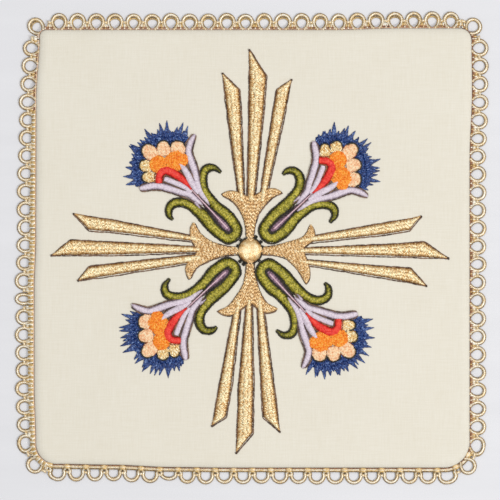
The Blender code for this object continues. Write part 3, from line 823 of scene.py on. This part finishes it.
outlines = {
    "thin": {"longest": 1.9, "wobble": 0.07, "thread": 0.32, "base": 0.12, "crest": 0.05, "lap": 0.14,
             "tones": (0.0, 1.0)},
    "leaf": {"longest": 1.2, "wobble": 0.05, "thread": 0.45, "base": 0.22, "crest": 0.08, "lap": 0.16,
             "tones": (0.0, 0.8)},
    "petal": {"longest": 1.4, "wobble": 0.04, "thread": 0.3, "base": 0.5, "crest": 0.06, "lap": 0.2,
              "tones": (0.0, 0.7)},
    "knot": {"longest": 0.5, "wobble": 0.0, "thread": 0.6, "base": 0.2, "crest": 0.1, "lap": 0.2,
             "tones": (0.0, 0.3)},
    "grow": 0.22, "tipReach": 0.5, "leafGrow": 0.08, "innerEnd": 21.0,
}


def rayOutline(ray):  # both long sides and the slanting end, each as a line of its own
    lefts, rights = rayEdges(ray)
    lefts[:, 0] -= outlines["grow"]
    rights[:, 0] += outlines["grow"]
    tip = np.array([(ray[3][0], ray[3][1] + outlines["tipReach"])])
    cutSide, longSide = (lefts, rights) if ray[2][0] < ray[3][0] else (rights, lefts)
    return [longSide[:2], np.vstack([longSide[1:2], tip]), cutSide[:2], cutSide[1:3],
            np.vstack([cutSide[2:3] + (0.0, 0.15), tip])]


def makeOutlines():
    roll = np.random.default_rng(23)
    thin = Work()
    dark = Work()
    rust = Work()
    drop = np.array(motif["outlineDrop"])
    leaf = leafPath()
    darkPetal = dict(outlines["petal"], thread=0.34)
    for turn in range(motif["arms"]):
        for ray in rays["arms"][turn]:
            for line in rayOutline(ray):
                runningStitch(thin, placeArm(line, turn) + drop, outlines["thin"], roll)
            tip = placeArm(np.array([ray[3], (ray[3][0], ray[3][1] + outlines["tipReach"] + 0.1)]), turn)
            runningStitch(thin, tip + drop * 0.6, outlines["knot"], roll)
        ring = grownRing(flareRing(turn), outlines["grow"] * 0.8)
        runningStitch(thin, ring + drop * 0.7, outlines["thin"], roll, True)
        for name, path in sepals.items():
            base = 0.75 if name.startswith("inner") else 0.45
            runningStitch(thin, ringOfPath(path, turn, 0.16), dict(outlines["thin"], base=base), roll, True)
        for edge in pathEdges(leaf, outlines["leafGrow"]):
            runningStitch(dark, placeSpray(edge, turn) + drop * 0.3, outlines["leaf"], roll)
        inner = pathEdges(leaf, -0.4)[1]
        inner = inner[inner[:, 0] < outlines["innerEnd"]]
        runningStitch(dark, placeSpray(inner, turn), outlines["leaf"], roll)
        for path in paths["gold"] + paths["peach"]:
            lefts, rights = pathEdges(path, 0.05)
            notch, end = len(path) // 3, len(path) * 3 // 5
            for edge in (lefts, rights):
                runningStitch(rust, placeSpray(edge[notch:end + 1], turn), outlines["petal"], roll)
            tip = np.vstack([lefts[end:], rights[end:][::-1]])
            runningStitch(dark, placeSpray(tip, turn), dict(darkPetal, base=1.15), roll)
        for edge in pathEdges(redPath, 0.12):
            runningStitch(rust, placeSpray(edge, turn), dict(outlines["petal"], base=0.85), roll)
    # A dark thread ring round the boss, which also stands for the shade round its foot: partly thread, partly
    # painted shade.
    around = np.linspace(0.0, 2.0 * math.pi, 40)[:-1]
    rim = np.column_stack([np.cos(around), np.sin(around)]) * (np.array(boss["radii"]) + boss["outline"])
    runningStitch(dark, placeArm(rim, 0), darkPetal, roll, True)
    for knot in np.array(boss["knots"]):
        ahead = np.array([-knot[1], knot[0]]) / np.hypot(*knot) * boss["knotReach"]
        runningStitch(dark, placeArm(np.array([knot - ahead, knot + ahead]), 0),
                      dict(outlines["knot"], thread=0.85, longest=1.2), roll)
    thin.piece("brownOutlines", finishes["outline"], "outline_thread")
    dark.piece("darkOutlines", finishes["dark"], "outline_thread")
    rust.piece("rustOutlines", finishes["rust"], "outline_thread")


makeOutlines()


# The pall's outline, as in the solids

pall = {
    "width": 160.0, "length": 161.5,
    "corners": {"backRight": 4.5, "backLeft": 2.5, "frontLeft": 7.5, "frontRight": 9.5},
    "leastCorner": 0.4,
    "bows": {
        "right": ((0.0, 0.0), (0.7, 0.0), (0.88, 0.9), (1.0, 0.7)),
        "back": ((0.0, 0.6), (0.15, 0.6), (0.3, 0.0), (1.0, 0.0)),
        "left": ((0.0, -1.4), (0.16, -0.1), (0.5, 0.0), (0.62, 0.6), (0.85, 0.6), (1.0, 0.0)),
        "front": ((0.0, -1.4), (0.14, -1.1), (0.3, -0.2), (0.45, 0.0), (1.0, 0.0)),
    },
    "sideWidest": 1.1, "rim": 3.4,
    "rings": 60, "ripple": 0.05,
    "turnIn": ((0.35, 0.75), (0.85, 0.35)),  # inwards and down, from the widest line to the underside
}
sideOrder = list(pall["bows"])
cornerOrder = list(pall["corners"])
perSide = 60
perCorner = 25


def eased(rows, where):  # value of a two-column table, eased between its rows
    rows = np.array(rows, float)
    row = np.clip(np.searchsorted(rows[:, 0], where) - 1, 0, len(rows) - 2)
    share = np.clip((where - rows[row, 0]) / (rows[row + 1, 0] - rows[row, 0]), 0.0, 1.0)
    share = share * share * (3.0 - 2.0 * share)
    return rows[row, 1] + (rows[row + 1, 1] - rows[row, 1]) * share


def outline(outset):  # counter-clockwise from the front right corner
    keep = 1.0 + min(outset, 0.0) / (pall["width"] / 2.0)  # the bows fade towards the middle
    arcs = []
    for number, corner in enumerate(cornerOrder):
        radius = max(pall["corners"][corner] + outset, pall["leastCorner"])
        before, after = sideOrder[number], sideOrder[(number + 1) % 4]
        reach = {before: pall["bows"][before][-1][1] * keep + outset - radius,
                 after: pall["bows"][after][0][1] * keep + outset - radius}
        sideX = before if before in ("right", "left") else after
        sideY = after if sideX == before else before
        centre = np.array([(pall["width"] / 2 + reach[sideX]) * (1 if sideX == "right" else -1),
                           (pall["length"] / 2 + reach[sideY]) * (1 if sideY == "back" else -1)])
        angles = np.radians(90.0 * number + np.linspace(0.0, 90.0, perCorner))
        arcs.append(centre + radius * np.column_stack([np.cos(angles), np.sin(angles)]))
    parts = []
    share = np.arange(1, perSide + 1) / (perSide + 1)
    for number, side in enumerate(sideOrder):
        first, last = arcs[number - 1][-1], arcs[number][0]
        facing = math.radians(90.0 * number)
        outwards = np.array([math.cos(facing), math.sin(facing)])
        rows = pall["bows"][side]
        bow = eased(rows, share) - (rows[0][1] + (rows[-1][1] - rows[0][1]) * share)
        parts.append(first + (last - first) * share[:, None] + outwards * bow[:, None] * keep)
        parts.append(arcs[number])
    return np.vstack(parts)


def sideRuns(ring):  # four stretches, each from one corner's middle to the next
    half = perCorner // 2
    whole = perSide + perCorner
    middles = [number * whole + perSide + half for number in range(4)]
    runs = []
    for number in range(4):
        start = middles[number - 1] - (len(ring) if number == 0 else 0)
        runs.append(ring[np.arange(start, middles[number] + 1) % len(ring)])
    return runs


linen = {"dark": (0.765, 0.713, 0.592, 1.0), "light": (0.83, 0.788, 0.684, 1.0), "threadPitch": 0.42}


def linenFinish():
    finish = Finish("ivoryLinen", {"Roughness": 0.85, "Sheen Weight": 0.15, "Sheen Roughness": 0.6})
    place = finish.place()
    turns = 2.0 * math.pi / (linen["threadPitch"] * mm)
    warp, weft = ((finish.node("SeparateXYZ", {}, {"Vector": place}, axis) * turns).sine() for axis in "XY")
    slubs = (finish.noise(1.0, 2.0, 0.6, (0.12, 2.2, 1.0))
             + finish.noise(1.0, 2.0, 0.6, (2.2, 0.12, 1.0)) - 1.0)
    cloudy = finish.noise(34.0)
    share = (0.5 + slubs * 1.1 + (cloudy - 0.5) * 0.6 + warp * weft * 0.03).clamped()
    finish.use("Base Color", finish.mix(share, linen["dark"], linen["light"]))
    finish.bump(warp * weft * 0.15 + slubs * 1.2, 0.05, 0.5)
    return finish


def makePall():
    cells = pall["rings"] * 2
    bpy.ops.object.select_all(action="DESELECT")
    bpy.ops.mesh.primitive_grid_add(x_subdivisions=cells, y_subdivisions=cells, size=2.0)
    piece = bpy.context.object
    piece.name = "linenPall"
    count = len(piece.data.vertices)
    flat = np.empty(count * 3)
    piece.data.vertices.foreach_get("co", flat)
    flat = flat.reshape(-1, 3)
    a, b = flat[:, 0], flat[:, 1]
    ringNumber = np.rint((1.0 - np.maximum(np.abs(a), np.abs(b))) * pall["rings"]).astype(int)
    points = np.zeros((count, 3))
    for number in range(pall["rings"]):
        part = number / pall["rings"]
        inset = pall["width"] / 2.0 * (0.12 * part + 0.88 * part * part)
        reach = 1.0 - part
        deep = 1.0 - min(inset / pall["rim"], 1.0)
        height = pall["sideWidest"] + (linenTop - pall["sideWidest"]) * math.sqrt(1.0 - deep * deep)
        runs = sideRuns(outline(-inset))
        onRing = ringNumber == number
        for (out, along), run in zip(((a, b), (b, -a), (-a, -b), (-b, a)), runs):
            chosen = onRing & (out >= np.abs(along) - 1e-6)
            share = (along[chosen] / reach + 1.0) / 2.0
            gone = distances(run)
            for axis in range(2):
                points[chosen, axis] = np.interp(share * gone[-1], gone, run[:, axis])
            points[chosen, 2] = height
    points[ringNumber == pall["rings"], 2] = linenTop
    x, y = points[:, 0], points[:, 1]
    ripple = (np.sin(x * 0.11 + 0.6 * np.sin(y * 0.07)) + np.sin(y * 0.13 + 1.3 + 0.5 * np.sin(x * 0.09))
              + 0.5 * np.sin(x * 0.31 + y * 0.23))
    points[:, 2] += pall["ripple"] * ripple * (points[:, 2] - pall["sideWidest"]) / 4.0
    piece.data.vertices.foreach_set("co", (points * mm).ravel())
    for vertex in piece.data.vertices:
        vertex.select = False
    bpy.ops.object.mode_set(mode="EDIT")
    bpy.ops.mesh.select_mode(type="EDGE")
    bpy.ops.mesh.select_all(action="DESELECT")
    bpy.ops.mesh.select_non_manifold(extend=False, use_wire=False, use_boundary=True,
                                     use_multi_face=False, use_non_contiguous=False, use_verts=False)
    for inset, drop in pall["turnIn"]:
        share = 1.0 - 2.0 * inset / pall["width"]
        bpy.ops.mesh.extrude_region_move(TRANSFORM_OT_translate={"value": (0.0, 0.0, -drop * mm)})
        bpy.ops.transform.resize(value=(share, share, 1.0), center_override=(0.0, 0.0, 0.0))
    bpy.ops.mesh.edge_face_add()
    bpy.ops.mesh.select_all(action="SELECT")
    bpy.ops.mesh.normals_make_consistent(inside=False)
    bpy.ops.mesh.select_mode(type="VERT")
    bpy.ops.object.mode_set(mode="OBJECT")
    bpy.ops.object.shade_smooth_by_angle(angle=math.radians(50.0))
    piece.data.materials.clear()
    piece.data.materials.append(linenFinish().material)
    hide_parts("pall")
    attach(piece, "root")
    print("linenPall made")


makePall()


# Loop braid

braid = {
    "gap": 0.3,
    "loops": {"right": 23, "back": 22, "left": 23, "front": 22},
    "header": {"right": (1.1, 1.2, 1.1), "back": (1.1, 1.1, 1.1), "left": (1.1, 2.1, 1.9),
               "front": (1.3, 1.1, 1.2)},
    "feet": {"right": "pointed", "back": "pointed", "left": "pointed", "front": "splayed"},
    # The fourth strand is dark: a painted shadow that the raised cord casts inside the crown of each back
    # loop.
    "paintedShadowStrand": {"right": 0.0, "back": 0.75, "left": 0.0, "front": 0.0},  # how far a fourth strand sags
    "edgeTone": {"right": 0.4, "back": 0.85, "left": 1.0, "front": 0.4},
    "radius": 2.48, "centreOut": 1.5, "archHeight": 0.62,
    "odd": {("left", 15): (0.68, 1.0), ("front", 7): (1.05, 0.7)},
    "step": 0.36, "ply": 1.5, "pinch": 0.16,
    # The thick middle strand takes light tones and the side strands dark ones: a painted highlight along each
    # loop's band and painted shade at its edges.
    "strands": (  # sideways, radius, lift, least and most tone, sides
        (0.0, 0.38, 0.12, (0.55, 1.0), 8),
        (0.44, 0.25, -0.1, (0.0, 0.28), 6),
        (-0.44, 0.25, -0.1, (0.0, 0.28), 6),
    ),
    "crossing": ((-0.75, -0.5, 0.75, 0.35, 0.3, 0.6), (-0.7, 0.3, 0.7, -0.45, 0.35, 0.75)),
    "bundle": ((0.05, 0.55), (0.5, 0.7), (0.95, 0.5)),  # outwards and tone
    "wraps": (-0.42, 0.05, 0.5), "overs": (-1.7, -0.1, 1.5), "jointReach": 0.42,
    "arcs": ((0.2, 0.28, (0.0, 0.7)), (0.62, 0.26, (0.1, 0.8))),  # outwards, radius and tones
    "bars": ((0.0, 0.5, 0.36), (0.42, 0.5, 0.48), (0.9, 0.46, 1.0)),  # along, width and tone
    "barPitch": 1.55, "leastBarred": 1.35, "leastOut": -0.2,
    "headerCords": (  # outwards, radius, height and tones
        (0.2, 0.27, 1.05, (0.55, 0.95)), (0.58, 0.27, 0.95, (0.5, 0.9)), (0.98, 0.22, 0.8, (0.0, 0.2)),
    ),
    "gold": ((116, 95, 66), (225, 190, 124), (255, 252, 240)),
    "core": ((84, 54, 36), (172, 116, 76), (250, 216, 186)),
}

loopFeet = {  # below the arch: sideways and outwards in radii from the loop's middle, and height in mm
    "pointed": ((0.84, -0.62, 0.8), (0.65, -0.9, 1.1), (0.48, -1.06, 1.35), (0.38, -1.18, 1.6)),
    "splayed": ((1.04, -0.4, 0.8), (1.16, -0.65, 1.05), (1.38, -0.85, 1.25), (1.7, -0.95, 1.2)),
}


def lineAt(line, gone, where):
    where = np.mod(where, gone[-1])
    return np.column_stack([np.interp(where, gone, column) for column in line.T])


def layCord(work, path, radius, sides, roll, tones=(0.0, 1.0), ply=1.5):  # a two-ply twisted cord
    along = np.gradient(path, axis=0)
    along /= np.linalg.norm(along, axis=1)[:, None]
    side = np.cross(along, (0.0, 0.0, 1.0))
    side /= np.maximum(np.linalg.norm(side, axis=1), 1e-9)[:, None]
    up = np.cross(side, along)
    gone = np.r_[0.0, np.cumsum(np.linalg.norm(np.diff(path, axis=0), axis=1))]
    around = 2.0 * math.pi * np.arange(sides) / sides
    phase = 2.0 * (around[None, :] - 2.0 * math.pi * gone[:, None] / ply + roll.uniform(0.0, 6.28))
    reach = radius * (1.0 + braid["pinch"] * np.cos(phase))
    ring = (path[:, None, :] + (reach * np.cos(around))[..., None] * side[:, None, :]
            + (reach * np.sin(around))[..., None] * up[:, None, :])
    count = len(path)
    points = np.vstack([ring.reshape(-1, 3), path[0] - along[0] * radius * 0.5,
                        path[-1] + along[-1] * radius * 0.5])
    worn = np.interp(gone, np.linspace(0.0, gone[-1], 9), roll.uniform(-0.3, 0.3, 9))
    # Tone follows the twist: the ply ridges are painted light and the creases between plies dark, as painted
    # highlight and painted shade, with a slow random drift along the cord.
    tone = np.clip(0.5 + 0.5 * np.cos(phase) + worn[:, None], 0.0, 1.0)
    tone = tones[0] + (tones[1] - tones[0]) * np.r_[tone.ravel(), 0.2, 0.2]
    beside = [(j, (j + 1) % sides) for j in range(sides)]
    faces = [[i + j, i + sides + j, i + sides + k, i + k]
             for i in range(0, (count - 1) * sides, sides) for j, k in beside]
    end = (count - 1) * sides
    for j, k in beside:
        faces.append([count * sides, j, k])
        faces.append([count * sides + 1, end + k, end + j])
    work.add(points, faces, tone)


def loopRows(centre, feet, sizes):  # along the edge, outwards, height
    across, out = braid["radius"] * sizes[0], braid["radius"] * sizes[1]
    half = []
    for degrees in (0.0, 22.0, 45.0, 68.0, 90.0, 110.0):
        angle = math.radians(degrees)
        half.append((across * math.sin(angle), centre + out * math.cos(angle), braid["archHeight"]))
    half.extend((across * x, centre + out * y, height) for x, y, height in loopFeet[feet])
    half = np.array(half)
    return np.vstack([half[:0:-1] * (-1.0, 1.0, 1.0), half])


def braidFinish(name, metallic, colours):
    finish = Finish(name, {"Roughness": 0.38, "Metallic": metallic})
    tone = finish.node("Attribute", {"attribute_name": "tone"}, {}, "Fac")
    colourBy(finish, tone + (finish.noise(0.7, 3.0, 0.6) - 0.5) * 0.9, *colours)
    finish.bump(finish.noise(0.15, 2.0, 0.6), 0.04, 0.6)
    return finish


class BraidRun:  # one side's run, with the corner loop at its end
    def __init__(self, line, gone, middles, number):
        self.line = line
        self.gone = gone
        self.side = sideOrder[number]
        self.roll = np.random.default_rng(31 + number)
        self.start, self.end = middles[number - 1], middles[number]
        if self.end < self.start:
            self.start -= gone[-1]
        self.count = braid["loops"][self.side] + 1
        self.pitch = (self.end - self.start) / self.count
        self.runStart = self.start + self.pitch / 2.0
        self.runEnd = self.end + self.pitch / 2.0
        self.work = Work()
        self.core = Work()

    def frameAt(self, where):
        here = lineAt(self.line, self.gone, where)
        ahead = unit(lineAt(self.line, self.gone, where + 1.0) - lineAt(self.line, self.gone, where - 1.0))
        return here, ahead, np.column_stack([ahead[:, 1], -ahead[:, 0]])

    def place(self, along, out, height):  # a point given along the edge, outwards and up
        here, _, facing = self.frameAt(along)
        return np.column_stack([here + facing * out[:, None], height])

    def placeStraight(self, middle, along, out, height):  # the same beside a corner's middle
        here, ahead, facing = self.frameAt(np.array([middle]))
        return np.column_stack([here + ahead * along[:, None] + facing * out[:, None], height])

    def width(self, where):
        share = (np.asarray(where) - self.runStart) / (self.runEnd - self.runStart)
        return eased(tuple(zip((0.0, 0.5, 1.0), braid["header"][self.side])), share)

    def layLoop(self, number):
        middle = self.start + self.pitch * number
        sizes = braid["odd"].get((self.side, number), (1.0, 1.0))
        sizes = (sizes[0] * self.roll.uniform(0.95, 1.05), sizes[1] * self.roll.uniform(0.96, 1.04))
        centre = float(self.width([middle])[0]) + braid["centreOut"] * sizes[1]
        corner = number == self.count
        feet = "pointed" if corner else braid["feet"][self.side]
        path = smoothPath(loopRows(centre, feet, sizes), braid["step"])
        reach = sideways(path)
        crown = np.clip((path[:, 1] - centre) / braid["radius"], 0.0, 1.0)[:, None]
        strands = list(braid["strands"])
        sag = braid["paintedShadowStrand"][self.side]
        if sag:
            # Dark tones of the fourth strand: painted shadow inside the loop's crown.
            strands.append((-0.42, 0.3, -0.2, (0.1, 0.45), 6))
        for index, (aside, radius, lift, tones, sides) in enumerate(strands):
            strand = path.copy()
            strand[:, :2] += reach * (aside - (sag * crown if index == 3 else 0.0))
            wave = np.linspace(0.0, 9.0, len(strand)) + self.roll.uniform(0.0, 6.28)
            strand[:, 2] += lift + 0.08 * np.sin(wave)
            strand[:, 2] = np.maximum(strand[:, 2], radius * 1.17)
            strand[:, 0] += self.roll.uniform(-0.06, 0.06)
            out = np.maximum(strand[:, 1], braid["leastOut"])
            if corner:
                points = self.placeStraight(middle, strand[:, 0], out, strand[:, 2])
            else:
                points = self.place(middle + strand[:, 0], out, strand[:, 2])
            layCord(self.work, points, radius, sides, self.roll, tones)

    def stitches(self, work, rows):  # along, outwards and height at both ends, rise, width and tone
        rows = np.array(rows, float)
        first = self.place(rows[:, 0], rows[:, 1], rows[:, 2])
        last = self.place(rows[:, 3], rows[:, 4], rows[:, 5])
        layStitches(work, np.column_stack([first, last, rows[:, 6:8], rows[:, 7] * 0.75, rows[:, 8]]))

    def layJoints(self):  # knots where neighbouring loops meet, and what shows between their feet
        roll = self.roll
        splayed = braid["feet"][self.side] == "splayed"
        reach = braid["jointReach"] * self.pitch
        for number in range(self.count + 1):
            joint = self.start + self.pitch * (number + 0.5)
            low = -reach if number else 0.15
            high = reach if number < self.count else -0.15
            middle = joint + (0.0 if 0 < number < self.count else (0.5 if number == 0 else -0.5))
            wide = float(self.width([middle])[0])
            level = wide + braid["centreOut"] - 0.1
            knots = [(middle + near, level + inner, 0.9, middle + far, level + outer, 0.9, rise, 0.5, tone)
                     for near, inner, far, outer, rise, tone in braid["crossing"]]
            if splayed:
                for out, tone in braid["bundle"]:
                    half = 1.7 - out * 0.5
                    knots.append((middle - half, out, 1.3, middle + half, out, 1.3, 0.3, 0.55, tone))
            else:
                for aside in braid["wraps"]:
                    lean = roll.uniform(-0.1, 0.1)
                    knots.append((middle + aside * 1.5, wide * 0.35, 1.0, middle + aside + lean, level - 0.4,
                                  0.75, 0.3, 0.42, roll.uniform(0.45, 1.0)))
                for aside in braid["overs"]:
                    near, far = middle + aside, middle + aside + roll.uniform(-0.2, 0.4)
                    knots.append((near, -0.25, 1.55, far, wide * 0.55, 1.2, 0.25, 0.4, roll.uniform(0.4, 1.0)))
            self.stitches(self.work, knots)
            if splayed:
                continue
            steps = np.linspace(joint + low, joint + high, 10)
            bulge = 1.0 - ((steps - joint) / reach) ** 2
            for out, radius, tones in braid["arcs"]:
                points = self.place(steps, 0.1 + out * wide * bulge, np.full(10, 1.0))
                layCord(self.core, points, radius, 6, roll, tones, 1.3)

    def layBars(self):  # bars across a wide header
        bars = np.arange(self.runStart + 0.4, self.runEnd - 0.5, braid["barPitch"])
        bars += self.roll.uniform(-0.1, 0.1, len(bars))
        rows = []
        for bar, wide in zip(bars, self.width(bars)):
            if wide < braid["leastBarred"]:
                continue
            lean = self.roll.uniform(-0.2, 0.2)
            for aside, broad, tone in braid["bars"]:
                rows.append((bar + aside, -0.25, 1.6, bar + aside + lean, wide * 1.05, 0.85, 0.35, broad,
                             tone + self.roll.uniform(-0.12, 0.12)))
        if rows:
            self.stitches(self.work, rows)

    def layHeaderCords(self):  # straight cords between splayed feet
        steps = np.arange(self.runStart + 0.2, self.runEnd - 0.2, 0.5)
        for out, radius, height, tones in braid["headerCords"]:
            points = self.place(steps, self.width(steps) * out, np.full(len(steps), height))
            layCord(self.work, points, radius, 6, self.roll, tones, 1.7)

    def layEdgeLine(self):  # the sewing along the cloth's edge
        steps = np.arange(self.runStart + 0.2, self.runEnd - 0.2, 0.5)
        tone = braid["edgeTone"][self.side]
        points = self.place(steps, np.full(len(steps), -0.1), np.full(len(steps), 1.62))
        layCord(self.core, points, 0.17, 6, self.roll, (tone - 0.25, tone), 1.1)


def makeBraid():
    goldBraid = braidFinish("goldBraid", 0.4, braid["gold"])
    coreBraid = braidFinish("braidCore", 0.15, braid["core"])
    line = outline(braid["gap"])
    line = np.vstack([line, line[:1]])
    gone = distances(line)
    whole = perSide + perCorner
    middles = [gone[number * whole + perSide + perCorner // 2] for number in range(4)]
    for number, side in enumerate(sideOrder):
        run = BraidRun(line, gone, middles, number)
        for loop in range(1, run.count + 1):
            run.layLoop(loop)
        run.layJoints()
        run.layBars()
        if braid["feet"][side] == "splayed":
            run.layHeaderCords()
        run.layEdgeLine()
        piece = run.work.piece("loopBraid" + side.capitalize(), goldBraid, "gold_braid")
        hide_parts("loop_braid_" + side)
        run.core.piece("braidCore" + side.capitalize(), coreBraid, "gold_braid")


makeBraid()


# Floor, light and camera

stage = {
    "floor": 1.6, "floorDark": (0.74, 0.74, 0.765, 1.0), "floorLight": (0.82, 0.82, 0.845, 1.0),
    "cameraHeight": 0.9, "view": 0.1842, "centre": (-0.00101, -0.00046), "sensor": 36.0,
    "lamps": (("overhead", (-0.05, 0.2, 1.0), 0.8, 4.75), ("side", (0.62, -0.3, 0.85), 0.3, 4.35)),
    "worldStrength": 0.36,
}


def makeStage():
    bpy.ops.object.select_all(action="DESELECT")
    bpy.ops.mesh.primitive_plane_add(size=stage["floor"])
    floor = bpy.context.object
    floor.name = "floor"
    finish = Finish("paleFloor", {"Roughness": 0.7})
    streak = finish.noise(9.0, 3.0, 0.6, (0.08, 1.0, 1.0))
    finish.use("Base Color", finish.mix(streak, stage["floorDark"], stage["floorLight"]))
    floor.data.materials.append(finish.material)

    camera = bpy.data.cameras.new("camera")
    camera.sensor_width = stage["sensor"]
    camera.lens = stage["sensor"] * stage["cameraHeight"] / stage["view"]
    camera.clip_start = 0.01
    cameraPiece = bpy.data.objects.new("camera", camera)
    cameraPiece.location = (*stage["centre"], stage["cameraHeight"] + 1.5 * mm)
    bpy.context.collection.objects.link(cameraPiece)
    bpy.context.scene.camera = cameraPiece

    for name, place, size, power in stage["lamps"]:
        lamp = bpy.data.lights.new(name, "AREA")
        lamp.shape = "SQUARE"
        lamp.size = size
        lamp.energy = power
        light = bpy.data.objects.new(name, lamp)
        light.location = place
        aim = -np.array(place)
        light.rotation_euler = (math.atan2(math.hypot(aim[0], aim[1]), -aim[2]), 0.0,
                                math.atan2(aim[1], aim[0]) - math.pi / 2.0)
        bpy.context.collection.objects.link(light)
    world = bpy.data.worlds.new("studio")
    world.use_nodes = True
    light = world.node_tree.nodes["Background"]
    light.inputs["Color"].default_value = (1.0, 1.0, 1.0, 1.0)
    light.inputs["Strength"].default_value = stage["worldStrength"]
    bpy.context.scene.world = world
    print("stage made")


makeStage()
